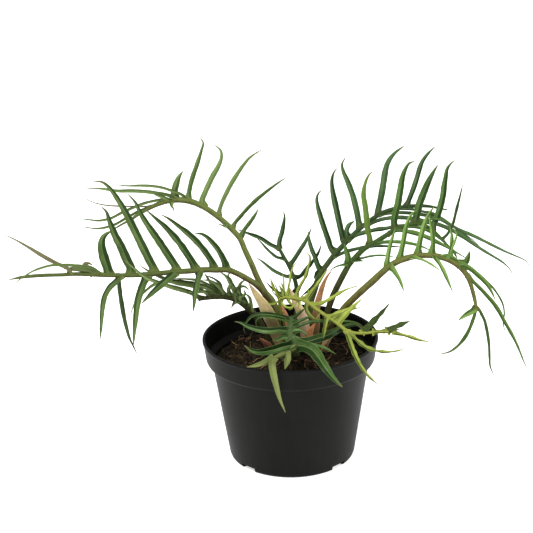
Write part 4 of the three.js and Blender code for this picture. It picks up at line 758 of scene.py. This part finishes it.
class Finish:
    """A material whose nodes are added by method calls."""

    def __init__(self, name):
        self.material = bpy.data.materials.new(name)
        self.material.use_nodes = True
        self.tree = self.material.node_tree
        self.tree.nodes.clear()

    def node(self, kind, settings, inputs, output=0):
        """Adds a node of a type: settings are its properties, inputs its sockets' values or links."""
        node = self.tree.nodes.new(kind)
        for key, setting in settings.items():
            if key == "stops":
                ramp = node.color_ramp
                while len(ramp.elements) < len(setting):
                    ramp.elements.new(1)
                for element, (place, shade) in zip(ramp.elements, setting):
                    element.position = place
                    element.color = (*shade, 1)
            else:
                setattr(node, key, setting)
        for key, given in inputs.items():
            socket = node.inputs[key]
            if isinstance(given, Value):
                self.tree.links.new(given.socket, socket)
            elif socket.type == "RGBA":
                socket.default_value = (*given, 1)
            else:
                socket.default_value = given
        return Value(self, node.outputs[output]) if node.outputs else None

    def place(self):
        """Where a point is on the object, in metres."""
        return self.node("ShaderNodeTexCoord", {}, {}, "Object")

    def painted(self, name):
        """A value painted on the piece's points."""
        return self.node("ShaderNodeAttribute", {"attribute_name": name}, {}, "Fac")

    def noise(self, place, scale, detail, roughness=0.5):
        """Soft noise from 0 to 1 with `scale` blobs to the metre."""
        inputs = {"Vector": place, "Scale": scale, "Detail": detail, "Roughness": roughness}
        return self.node("ShaderNodeTexNoise", {}, inputs)

    def stretched(self, place, scale):
        """A place with each axis multiplied by its own scale."""
        return self.node("ShaderNodeMapping", {}, {"Vector": place, "Scale": scale})

    def ease(self, value, low, high):
        """0 at low, 1 at high, S-shaped between."""
        inputs = {"Value": value, "From Min": low, "From Max": high}
        return self.node("ShaderNodeMapRange", {"interpolation_type": "SMOOTHSTEP"}, inputs)

    def mix(self, factor, first, second):
        """The first colour at factor 0 and the second at factor 1."""
        return self.node("ShaderNodeMix", {"data_type": "RGBA"}, {0: factor, 6: first, 7: second}, 2)

    def ramp(self, value, stops):
        """A colour read from (place, colour) stops."""
        return self.node("ShaderNodeValToRGB", {"stops": stops}, {"Fac": value})

    def bump(self, height, distance, strength):
        """A normal bent by a height from 0 to 1 that stands for `distance` metres."""
        return self.node("ShaderNodeBump", {}, {"Height": height, "Distance": distance, "Strength": strength})

    def finish(self, shade, roughness, normal, **constants):
        """Links the surface and returns the material."""
        inputs = {"Base Color": shade, "Roughness": roughness, "Normal": normal}
        inputs.update({key.replace("_", " "): value for key, value in constants.items()})
        surface = self.node("ShaderNodeBsdfPrincipled", {}, inputs)
        self.node("ShaderNodeOutputMaterial", {}, {"Surface": surface})
        return self.material


def colour(red, green, blue):
    """A colour seen as (red, green, blue) out of 255, as linear light."""
    seen = np.array([red, green, blue]) / 255
    return tuple(float(v) for v in np.where(seen <= 0.04045, seen / 12.92, ((seen + 0.055) / 1.055) ** 2.4))


def leaf_skin(name, shine, green_rib, *colours):
    """Living leaf: a green blade with one half painted lighter as if lit and a painted highlight beside the
    midrib, painted shade towards its base, with a paler midrib, thin pale margins, faint slanting veins and
    drying tips, a duller underside, and a stalk whose lower side is browner and darker, partly its own colour
    and partly painted shade, and which takes on the leaf's green by `green_rib`."""
    green, light, pale_and_highlight_green, stem, stem_brown_and_shade = [colour(*seen) for seen in colours]
    f = Finish(name)
    place = f.place()
    across, along, reach = f.painted("across"), f.painted("along"), f.painted("reach")
    under, blade, tone = f.painted("under"), f.painted("blade"), f.painted("tone")
    patches = f.noise(place, 55, 3)
    grain = f.noise(place, 700, 3, 0.6)
    edge = abs(across)
    # painted light: the half on the +1 side of the section is painted lighter, as if it faced the lamp
    painted_lit_half = f.ease(across, -0.3, 0.3)
    shade = f.mix(f.ease(patches * 0.4 + tone * 0.4 + painted_lit_half * 0.4, 0.25, 0.9), green, light)
    # painted highlight: a pale streak in patches beside the midrib, on the half painted as lit
    painted_sheen = f.ease(across, 0.05, 0.3) * (1 - f.ease(across, 0.35, 0.7))
    shade = f.mix(painted_sheen * f.ease(patches, 0.35, 0.65) * 0.45, shade, pale_and_highlight_green)
    # painted shade: the blade darkens towards its base, by the stalk
    shade = f.mix((1 - f.ease(along, 0, 0.4)) * 0.5, shade, green)
    vein_gap = 0.0016
    veins = (reach * (2 * math.pi / vein_gap) - edge * 5).math("SINE") * 0.5 + 0.5
    shade = f.mix(veins * 0.16 * f.ease(edge, 0.1, 0.3), shade, light)
    midrib = 1 - f.ease(edge, 0.03, 0.17)
    shade = f.mix(midrib * 0.45, shade, pale_and_highlight_green)
    shade = f.mix(f.ease(edge, 0.86, 1) * 0.5, shade, pale_and_highlight_green)
    below = f.mix(veins * 0.15 + midrib * 0.3, pale_and_highlight_green, light)
    shade = f.mix(under * 0.85, shade, below)
    shade = f.mix(f.ease(tone * -1, 0, 1) * 0.9, shade, colour(40, 58, 30))
    shade = f.mix(f.ease(tone, 1, 1.3) * (1 - f.ease(tone, 1.4, 1.5)), shade, colour(128, 142, 62))
    shade = f.mix(f.ease(tone, 1.5, 2) * 0.85, shade, colour(112, 104, 82))
    shade = f.mix(f.ease(along, 0.88, 1) * 0.7, shade, colour(112, 104, 70))
    streak = f.noise(f.stretched(place, (1, 1, 0.35)), 260, 3, 0.6)
    # the stalk's lower side is browner, partly its own colour, and darker, partly painted shade; flecks take
    # the same colour
    stalk = f.mix(f.ease(under + (streak - 0.5) * 0.9, 0.3, 0.7), stem, stem_brown_and_shade)
    stalk = f.mix(f.ease(along, 0.25, 0.5) * green_rib, stalk, f.mix(0.4, green, light))
    flecks = f.ease(f.noise(place, 420, 2), 0.6, 0.72)
    stalk = f.mix(flecks * 0.35, stalk, stem_brown_and_shade)
    skin = f.mix(f.ease(along, 0, 0.1) * blade, stalk, shade)
    skin = f.mix(f.ease(grain, 0.3, 0.8) * 0.15, skin, light)
    rough = 0.6 - shine * 0.25 * (1 - under * blade) + (grain - 0.5) * 0.18 + patches * 0.06
    height = veins * 0.25 * blade + grain * 0.4 + streak * 0.5 * (1 - blade)
    return f.finish(skin, rough, f.bump(height, 0.00012, 0.7), Specular_IOR_Level=0.12,
                    Coat_Weight=0.07 * shine, Coat_Roughness=0.2)


def sheath_skin(name, *colours):
    """Papery sheath: long fibres, a paler edge, a darker, damper root and a tip of its own colour."""
    body, edge_colour, root_colour, tip_colour = [colour(*seen) for seen in colours]
    f = Finish(name)
    place = f.place()
    across, along = f.painted("across"), f.painted("along")
    fibres = f.noise(f.stretched(place, (1, 1, 0.12)), 900, 3, 0.65)
    patches = f.noise(place, 120, 3)
    skin = f.mix(f.ease(fibres * 0.6 + patches * 0.5, 0.35, 0.75), root_colour, body)
    skin = f.mix(f.ease(abs(across), 0.6, 1) * 0.6, skin, edge_colour)
    skin = f.mix((1 - f.ease(along, 0.15, 0.5)) * 0.8, skin, root_colour)
    skin = f.mix(f.ease(along, 0.8, 1) * 0.7, skin, tip_colour)
    height = fibres * 0.7 + patches * 0.3
    return f.finish(skin, 0.55 + fibres * 0.25, f.bump(height, 0.0003, 0.8), Specular_IOR_Level=0.4)


def pot_plastic():
    """Black moulded plastic: satin, with a fine grain, faint rubbed streaks and dust."""
    f = Finish("black_pot_plastic")
    place = f.place()
    grain = f.noise(place, 1600, 2)
    cloud = f.noise(place, 18, 4, 0.6)
    rubbed = f.noise(f.stretched(place, (1, 1, 0.15)), 90, 4, 0.65)
    tint = f.mix(f.ease(cloud * 0.6 + rubbed * 0.5, 0.35, 0.75), colour(11, 11, 9), colour(20, 20, 18))
    tint = f.mix(f.ease(rubbed, 0.62, 0.8) * 0.2, tint, colour(56, 55, 52))
    rough = 0.42 + cloud * 0.12 + (grain - 0.5) * 0.12
    return f.finish(tint, rough, f.bump(grain * 0.6 + rubbed * 0.4, 0.00008, 0.5), Specular_IOR_Level=0.14)


def potting_soil():
    """Damp potting mix: near-black hollows and brown crumbs."""
    f = Finish("potting_soil")
    place = f.place()
    lumps = f.noise(place, 130, 5, 0.7)
    grain = f.noise(place, 900, 4, 0.7)
    tint = f.ramp(f.ease(lumps * 0.55 + grain * 0.5, 0.3, 0.75), [
        (0, colour(10, 9, 6)), (0.35, colour(26, 23, 16)),
        (0.65, colour(52, 44, 32)), (1, colour(84, 72, 54)),
    ])
    height = lumps * 0.6 + grain * 0.6
    return f.finish(tint, 0.9 - grain * 0.1, f.bump(height, 0.0018, 0.9), Specular_IOR_Level=0.12)


def litter_skin(name, dark, light):
    """Bits in the soil, each of its own tone, with streaks along the grain."""
    f = Finish(name)
    grain = f.noise(f.stretched(f.place(), (1, 1, 0.3)), 1300, 3, 0.6)
    tint = f.mix(f.ease(f.painted("tone") * 0.7 + grain * 0.5, 0.2, 1), colour(*dark), colour(*light))
    return f.finish(tint, 0.8 + grain * 0.1, f.bump(grain, 0.0002, 0.8), Specular_IOR_Level=0.3)


def crown_bark():
    """Stem base: olive-brown with dry leaf scars."""
    f = Finish("crown_bark")
    place = f.place()
    rings = f.noise(f.stretched(place, (0.4, 0.4, 1)), 420, 4, 0.65)
    patches = f.noise(place, 90, 3)
    tint = f.mix(f.ease(rings * 0.6 + patches * 0.5, 0.35, 0.75), colour(36, 28, 16), colour(84, 76, 42))
    return f.finish(tint, 0.75 + rings * 0.1, f.bump(rings, 0.0006, 0.8), Specular_IOR_Level=0.3)


def body_radius(height):
    """Outer radius of the pot's tapered body at a height, in millimetres."""
    rise = (height - FOOT_ROUND) / (LEDGE - FOOT_ROUND)
    return BASE_RADIUS + FOOT_ROUND / 2 + (BODY_TOP_RADIUS - BASE_RADIUS - FOOT_ROUND / 2) * rise


def rounded(profile, cut, steps=5):
    """A closed profile of [radius, height] points with each corner replaced by a short parabola that
    starts and ends `cut` millimetres from it, or a third of the shorter side if that is less."""
    before, after = np.roll(profile, 1, axis=0), np.roll(profile, -1, axis=0)
    reach = np.minimum(np.linalg.norm(before - profile, axis=1), np.linalg.norm(after - profile, axis=1))
    reach = np.minimum(cut, reach / 3)[:, None]
    start = profile + unit(before - profile) * reach
    stop = profile + unit(after - profile) * reach
    t = np.linspace(0, 1, steps)[None, :, None]
    curve = start[:, None] * (1 - t) ** 2 + 2 * profile[:, None] * t * (1 - t) + stop[:, None] * t**2
    return curve.reshape(-1, 2)


def pot_piece():
    """The pot as one closed wall profile turned round Z, whose foot is lifted in the drain slots. The
    floor is closed by a point on the axis inside and outside."""
    inner = body_radius(FLOOR + FOOT_ROUND) - WALL
    # up the outside, over the rim, down the inside, and along the floor's two faces
    wall = np.array([
        [BASE_RADIUS - FOOT_ROUND / 2, 0],
        [BASE_RADIUS + FOOT_ROUND / 4, FOOT_ROUND / 4],
        [body_radius(FOOT_ROUND), FOOT_ROUND],
        [body_radius(2 * SLOT_HEIGHT), 2 * SLOT_HEIGHT],
        [body_radius(POT_HEIGHT / 2), POT_HEIGHT / 2],
        [BODY_TOP_RADIUS, LEDGE],
        [BAND_FOOT_RADIUS - 1, BAND_FOOT - 0.5],
        [BAND_FOOT_RADIUS, BAND_FOOT + 1.5],
        [RIM_RADIUS - 0.8, POT_HEIGHT - LIP - 0.8],
        [RIM_RADIUS, POT_HEIGHT - LIP],
        [RIM_RADIUS, POT_HEIGHT],
        [RIM_RADIUS - LIP, POT_HEIGHT],
        [RIM_RADIUS - LIP - 0.6, POT_HEIGHT - LIP - 0.6],
        [BAND_FOOT_RADIUS - WALL, BAND_FOOT + 2],
        [body_radius(LEDGE) - WALL + 0.5, LEDGE + 0.7],
        [body_radius(LEDGE) - WALL, LEDGE],
        [inner, FLOOR + FOOT_ROUND],
        [inner - FOOT_ROUND, FLOOR],
        [AXIS_HOLE, FLOOR],
        [AXIS_HOLE, 0],
        [BASE_RADIUS / 2, 0],
    ])
    section = rounded(wall, EDGE_CUT)
    slots = (np.arange(DRAIN_SLOTS) + 0.5) * 2 * math.pi / DRAIN_SLOTS
    half = SLOT_WIDTH / 2 / BASE_RADIUS
    edges = np.concatenate([slots + half * k for k in (-1.03, -0.97, 0.97, 1.03)])
    angle = np.sort(np.concatenate([one_turn(POT_SIDES), edges]))[:, None]
    near = np.abs((angle - slots + math.pi) % (2 * math.pi) - math.pi).min(axis=1, keepdims=True) < half
    radius, height = section[None, :, 0], section[None, :, 1]
    outer = smoothstep(radius, BASE_RADIUS - 12, BASE_RADIUS - 10)
    lifted = np.maximum(height, SLOT_HEIGHT * outer * near * (height < SLOT_HEIGHT))
    wobble = 1 + 0.0012 * ripple(turned(1, angle[:, 0], 0)[:, :2], 1.2, 2)[:, None]
    rings = turned(radius * wobble, angle, lifted) * MM
    index = np.arange(rings.shape[0] * rings.shape[1]).reshape(rings.shape[:2])
    ahead, beside = np.roll(index, -1, axis=0), np.roll(index, -1, axis=1)
    quads = np.stack([index, ahead, np.roll(ahead, -1, axis=1), beside], axis=-1).reshape(-1, 4)
    skin = Skin()
    skin.add(rings.reshape(-1, 3), quads)
    skin.finish("nursery_pot", pot_plastic(), "pot_plastic", "pot", crease=40)


def soil_height(x, y):
    """Height of the soil at a place, in millimetres: a low dome with lumps on three scales."""
    radius = np.hypot(x, y)
    dome = SOIL_MIDDLE + (SOIL_EDGE - SOIL_MIDDLE) * (radius / BODY_TOP_RADIUS) ** 2
    places = np.stack([x, y], axis=-1)
    lumps = 1.7 * ripple(places, 26, 21) + 1.0 * ripple(places, 9, 22) + 0.55 * ripple(places, 3.6, 23)
    return dome + 0.8 * lumps


def soil_piece():
    """The soil as rings of a turned profile: a lumpy top from the middle out, then the side and the
    underside, with a point on the axis at both ends."""
    edge = body_radius(SOIL_EDGE) - WALL - SOIL_GAP
    inner = body_radius(FLOOR + FOOT_ROUND) - WALL - SOIL_GAP
    angle = one_turn(SOIL_SIDES)[None, :]
    below = [edge, inner, inner - FOOT_ROUND, AXIS_HOLE]
    radius = np.concatenate([np.linspace(AXIS_HOLE, edge, SOIL_RINGS), below])[:, None]
    settled = 1 - smoothstep(radius, edge - SETTLED_EDGE, edge)
    lumpy = soil_height(radius * np.cos(angle), radius * np.sin(angle))
    top = SOIL_EDGE - 1 + (lumpy - SOIL_EDGE + 1) * settled
    low = np.array([SOIL_EDGE - 8, FLOOR + FOOT_ROUND + 0.6, FLOOR + 0.3, FLOOR + 0.3])[:, None] + 0 * angle
    height = np.concatenate([top[:SOIL_RINGS], low])
    skin = Skin()
    skin.add_rings(turned(radius, angle, height)[::-1] * MM)
    skin.finish("soil_surface", potting_soil(), "soil", "soil", crease=180)


def scattered(count, outer):
    """Random places on the soil inside a radius, as x and y in millimetres."""
    radius = outer * np.sqrt(RNG.uniform(0, 1, count))
    angle = RNG.uniform(0, 2 * math.pi, count)
    return radius * np.cos(angle), radius * np.sin(angle)


def turned_about(vectors, axis, angle):
    """Vectors (n, k, 3) turned about unit axes (n, 3) by angles (n,): Rodrigues' formula."""
    axis = axis[:, None]
    cosine, sine = np.cos(angle)[:, None, None], np.sin(angle)[:, None, None]
    across = np.cross(np.broadcast_to(axis, vectors.shape), vectors)
    return vectors * cosine + across * sine + axis * (vectors * axis).sum(-1, keepdims=True) * (1 - cosine)


LUMP_FACES = np.array([[0, 1, 2], [0, 2, 3], [0, 3, 4], [0, 4, 5], [0, 5, 1],
                       [1, 6, 2], [2, 7, 3], [3, 8, 4], [4, 9, 5], [5, 10, 1],
                       [6, 7, 2], [7, 8, 3], [8, 9, 4], [9, 10, 5], [10, 6, 1],
                       [11, 7, 6], [11, 8, 7], [11, 9, 8], [11, 10, 9], [11, 6, 10]])


def icosahedron():
    """The twelve corners of an icosahedron: two poles and two rings of five turned by half a step."""
    level, wide = 1 / math.sqrt(5), 2 / math.sqrt(5)
    ring = one_turn(5)
    upper, lower = turned(wide, ring, level), turned(wide, ring + math.pi / 5, -level)
    return np.concatenate([[[0, 0, 1]], upper, lower, [[0, 0, -1]]])


def add_lumps(skin, outer, count, low, high, flat):
    """Crumbs or chips on the soil: icosahedra with uneven corners, stretched and turned at random."""
    x, y = scattered(count, outer)
    size = RNG.uniform(low, high, (count, 1, 3)) * np.array([1, RNG.uniform(0.5, 0.9), flat])
    corners = icosahedron()[None] * (1 + RNG.uniform(-0.25, 0.25, (count, 12, 1))) * size
    axis = unit(RNG.normal(size=(count, 3)) * np.array([0.5, 0.5, 1.5]))
    corners = turned_about(corners, axis, RNG.uniform(0, 2 * math.pi, count))
    place = np.stack([x, y, soil_height(x, y) + size[:, 0, 2] * 0.35], axis=1)
    points = (corners + place[:, None]) * MM
    tones = RNG.uniform(0, 1, count)
    faces = (LUMP_FACES[None] + 12 * np.arange(count)[:, None, None]).reshape(-1, 3)
    skin.add(points.reshape(-1, 3), faces, tone=np.repeat(tones, 12))


def thread_rings(path, radius, sides):
    """Round rings along a path: a fixed upward guide gives each ring its two axes."""
    along = unit(np.gradient(path, axis=0))
    guide = np.array([0.13, 0.21, 1.0])
    side = unit(np.cross(guide, along))
    facing = np.cross(along, side)
    angle = one_turn(sides)[None, :, None]
    out = np.cos(angle) * side[:, None] + np.sin(angle) * facing[:, None]
    return path[:, None] + out * radius[:, None, None]


def add_fibres(skin, outer, count, shortest, longest, thick, rise):
    """Fibres on the soil: five-sided threads, each a bow that lies on the soil and lifts at one end."""
    x, y = scattered(count, outer)
    length = RNG.uniform(shortest, longest, count)
    heading = RNG.uniform(0, 2 * math.pi, count)
    bend = RNG.uniform(-1.2, 1.2, count)
    lift = RNG.uniform(0, rise, count)
    t = np.linspace(-0.5, 0.5, 8)
    for k in range(count):
        way = heading[k] + bend[k] * t
        px = x[k] + length[k] * t * np.cos(way)
        py = y[k] + length[k] * t * np.sin(way)
        shrink = np.minimum(1, outer / np.maximum(np.hypot(px, py), 1e-6))
        px, py = px * shrink, py * shrink
        pz = soil_height(px, py) + thick + lift[k] * length[k] * (t + 0.5) ** 2
        path = np.stack([px, py, pz], axis=1) * MM
        skin.add_rings(thread_rings(path, thick * MM * (1 - 1.2 * np.abs(t)), 5), tone=RNG.uniform())


# What lies on the soil: how it is strewn, its finish with a dark and a light colour, the crease, and
# batches of count, then smallest and largest size and flatness of lumps, or shortest, longest, thickness and
# rise of fibres, in millimetres
LITTER = {
    "soil_crumbs": [add_lumps, "soil_crumb", (18, 16, 11), (62, 54, 40), 20,
                    (1500, 0.5, 1.6, 0.8), (260, 1.4, 3.2, 0.6)],
    "bark_chips": [add_lumps, "bark_chip", (44, 32, 22), (112, 84, 60), 20, (70, 1.8, 4.6, 0.22)],
    "soil_fibres": [add_fibres, "soil_fibre", (36, 29, 20), (98, 82, 60), 60, (420, 6, 20, 0.28, 0.25)],
    "pale_straws": [add_fibres, "pale_straw", (116, 88, 58), (176, 148, 108), 60, (60, 7, 22, 0.34, 0.35)],
}


def soil_litter():
    """The crumbs, bark chips, fibres and straws, clear of the pot's wall."""
    outer = body_radius(SOIL_EDGE) - WALL - LITTER_GAP
    for name, (strew, finish, dark, light, crease, *batches) in LITTER.items():
        skin = Skin()
        for batch in batches:
            strew(skin, outer, *batch)
        skin.finish(name, litter_skin(finish, dark, light), "soil", crease=crease)


def crown_pieces():
    """Each crown is a domed stub turned round its own axis and scarred by slanting ripples."""
    bark = crown_bark()
    share = np.linspace(0, 1, CROWN_RINGS)[:, None]
    angle = one_turn(CROWN_SIDES)[None, :]
    level = SOIL_MIDDLE - CROWN_ROOT + (CROWN_ROOT + CROWN_TOP) * np.minimum(1, share * 1.02)
    dome = np.sqrt(np.clip(1 - np.clip((level - SOIL_MIDDLE) / CROWN_TOP, 0, 1) ** 2, 0.0004, 1))
    radius = CROWN_RADIUS * dome * (0.75 + 0.25 * smoothstep(share, 0, 0.3))
    radius = radius * (1 + 0.05 * np.sin(level * 2.4 + 2 * angle) + 0.03 * np.sin(5 * angle + level))
    for name, (x, y) in CROWNS.items():
        skin = Skin()
        skin.add_rings((turned(radius, angle, level) + [x, y, 0]) * MM)
        skin.finish(name + "_stub", bark, "crown", name, crease=60)


def leaf_piece(name, leaf, number, finish):
    """A leaf: its stalk with all its leaflets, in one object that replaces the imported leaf. Sine patterns
    give each leaflet a fold and a tone of its own."""
    stalk = np.array(leaf["stalk"], float)
    radii = stalk[:, 3:] * MM
    places = np.concatenate([sight(stalk), radii], axis=1)
    rib = smooth_curve(places, STALK_STEPS)
    rib[:, 3] = np.interp(np.arange(len(rib)) / STALK_STEPS, np.arange(len(radii)), radii[:, 0])
    even_rib = even(rib, 16 * len(places))
    along_rib = unit(np.gradient(rib[:, :3], axis=0))
    skin = Skin()
    add_stalk(skin, even_rib[:, :3], even_rib[:, 3:])
    for order, (station, seen_width, *points) in enumerate(leaf["leaflets"]):
        at = min(int(round(station * STALK_STEPS)), len(rib) - 1)
        root = rib[at, :3]
        aside = np.cross(unit(sight(points)[0] - root), along_rib[at])
        cup = leaf["cup"] + CUP_SPREAD * math.sin(2.4 * order + number)
        pattern = 0.5 + 0.5 * math.sin(5.1 * order + 1.7 * number)
        tone = leaf.get("tones", {}).get(order, pattern)
        add_leaflet(skin, root, rib[at, 3], aside, points, seen_width, leaf, cup, tone)
    skin.finish(name + "_foliage", finish, LEAF_SLOTS.get(name, "leaf"), name)


def sheath_piece(name, finish, width, points):
    """A sheath: a strip with rolled-in edges, whose section sinks as s^2 with a slow sine on top, and which
    narrows as 1 - t^3 to its tip."""
    path = even(smooth_curve(sight(points)), SHEATH_STEPS)
    share = np.linspace(0, 1, len(path))[:, None]
    side, facing = facing_frames(path, 0 * share, np.array([0, 0, 1.0]))
    taper = (1 - share**3) * np.minimum(1, 0.6 + 1.6 * share) + SHEATH_TIP
    half = width * MM / 2 * taper * (1 + 0.05 * ripple(path / MM, 12, 8)[:, None])
    s = SECTION[None, :]
    thick = SHEATH_THICKNESS * MM * (1 - 0.4 * share)
    rim = np.sqrt(np.clip(1 - s**2, 0, 1))
    lift = -SHEATH_ROLL * half * s**2 + 0.06 * half * np.sin(7 * s + 5 * share)
    skin = Skin()
    skin.add_strip(path, side, facing, half, lift + thick * rim, lift - thick * rim, along=share)
    skin.finish(name + "_strip", finish, "sheath", name)


def floor_piece():
    """A matt white paper sweep just under the pot, all round: it is flat out to SWEEP_FLAT, then rises as
    the square of the way to SWEEP_EDGE, and glows a little as if lit."""
    f = Finish("pale_floor")
    mottle = f.noise(f.place(), 3, 2)
    tint = f.mix(mottle * 0.2, (0.93, 0.93, 0.93), (0.9, 0.9, 0.9))
    material = f.finish(tint, 0.85, f.bump(mottle, 0.0001, 0.1), Specular_IOR_Level=0.1,
                        Emission_Color=(1, 1, 1), Emission_Strength=FLOOR_GLOW)
    radius = np.linspace(SWEEP_FLAT, SWEEP_EDGE, SWEEP_RINGS)[:, None]
    rise = SWEEP_HEIGHT * ((radius - SWEEP_FLAT) / (SWEEP_EDGE - SWEEP_FLAT)) ** 2 - SWEEP_DROP
    rings = turned(radius, one_turn(SWEEP_SIDES)[None, :], rise)
    index = np.arange(rings.shape[0] * rings.shape[1]).reshape(rings.shape[:2])
    beside = np.roll(index, -1, axis=1)
    quads = np.stack([index[:-1], index[1:], beside[1:], beside[:-1]], axis=-1).reshape(-1, 4)
    skin = Skin()
    skin.add(rings.reshape(-1, 3), quads, index[:1])
    skin.make("floor", material, crease=180)


def soft_light(name, place, target, size, power):
    """A square area light at a place, aimed at a target."""
    data = bpy.data.lights.new(name, "AREA")
    data.shape = "SQUARE"
    data.size = size
    data.energy = power
    light = bpy.data.objects.new(name, data)
    light.location = place
    way = np.array(target) - np.array(place)
    light.rotation_euler = Vector(way).to_track_quat("-Z", "Y").to_euler()
    bpy.context.collection.objects.link(light)


def light_scene():
    """A white room with a large soft lamp above left and a weaker one from the right."""
    world = bpy.data.worlds.new("white_room")
    world.use_nodes = True
    room = world.node_tree.nodes["Background"].inputs
    room["Color"].default_value = (1, 1, 1, 1)
    room["Strength"].default_value = ROOM_LIGHT
    bpy.context.scene.world = world
    for name, lamp in LAMPS.items():
        soft_light(name, **lamp)
    bpy.context.scene.view_settings.view_transform = "Standard"
    bpy.context.scene.view_settings.look = "Medium High Contrast"


def place_camera():
    """The camera at the eye: looking at AIM, with the picture rolled counter-clockwise."""
    data = bpy.data.cameras.new("camera")
    data.sensor_width = SENSOR
    data.lens = SENSOR * FOCAL_PIXELS / PICTURE_PIXELS
    data.clip_end = VIEW_END
    camera = bpy.data.objects.new("camera", data)
    right = np.array([1.0, 0, 0])
    up = np.cross(right, BACK_DOWN)
    rolled_right = math.cos(EYE_ROLL) * right - math.sin(EYE_ROLL) * up
    rolled_up = math.sin(EYE_ROLL) * right + math.cos(EYE_ROLL) * up
    turn = Matrix(np.stack([rolled_right, rolled_up, -BACK_DOWN], axis=1).tolist())
    camera.matrix_world = Matrix.Translation(EYE * MM) @ turn.to_4x4()
    bpy.context.collection.objects.link(camera)
    bpy.context.scene.camera = camera


place_camera()
floor_piece()
light_scene()
pot_piece()
soil_piece()
soil_litter()
crown_pieces()
leaf_skins = {key: leaf_skin(key + "_leaf", *values) for key, values in LEAF_COLOURS.items()}
for number, (name, leaf) in enumerate(LEAVES.items()):
    leaf_piece(name, leaf, number, leaf_skins[leaf["skin"]])
for name, (width, *points) in SHEATHS.items():
    finish = sheath_skin(name.removeprefix("sheath_") + "_sheath", *SHEATH_COLOURS[name])
    sheath_piece(name, finish, width, points)
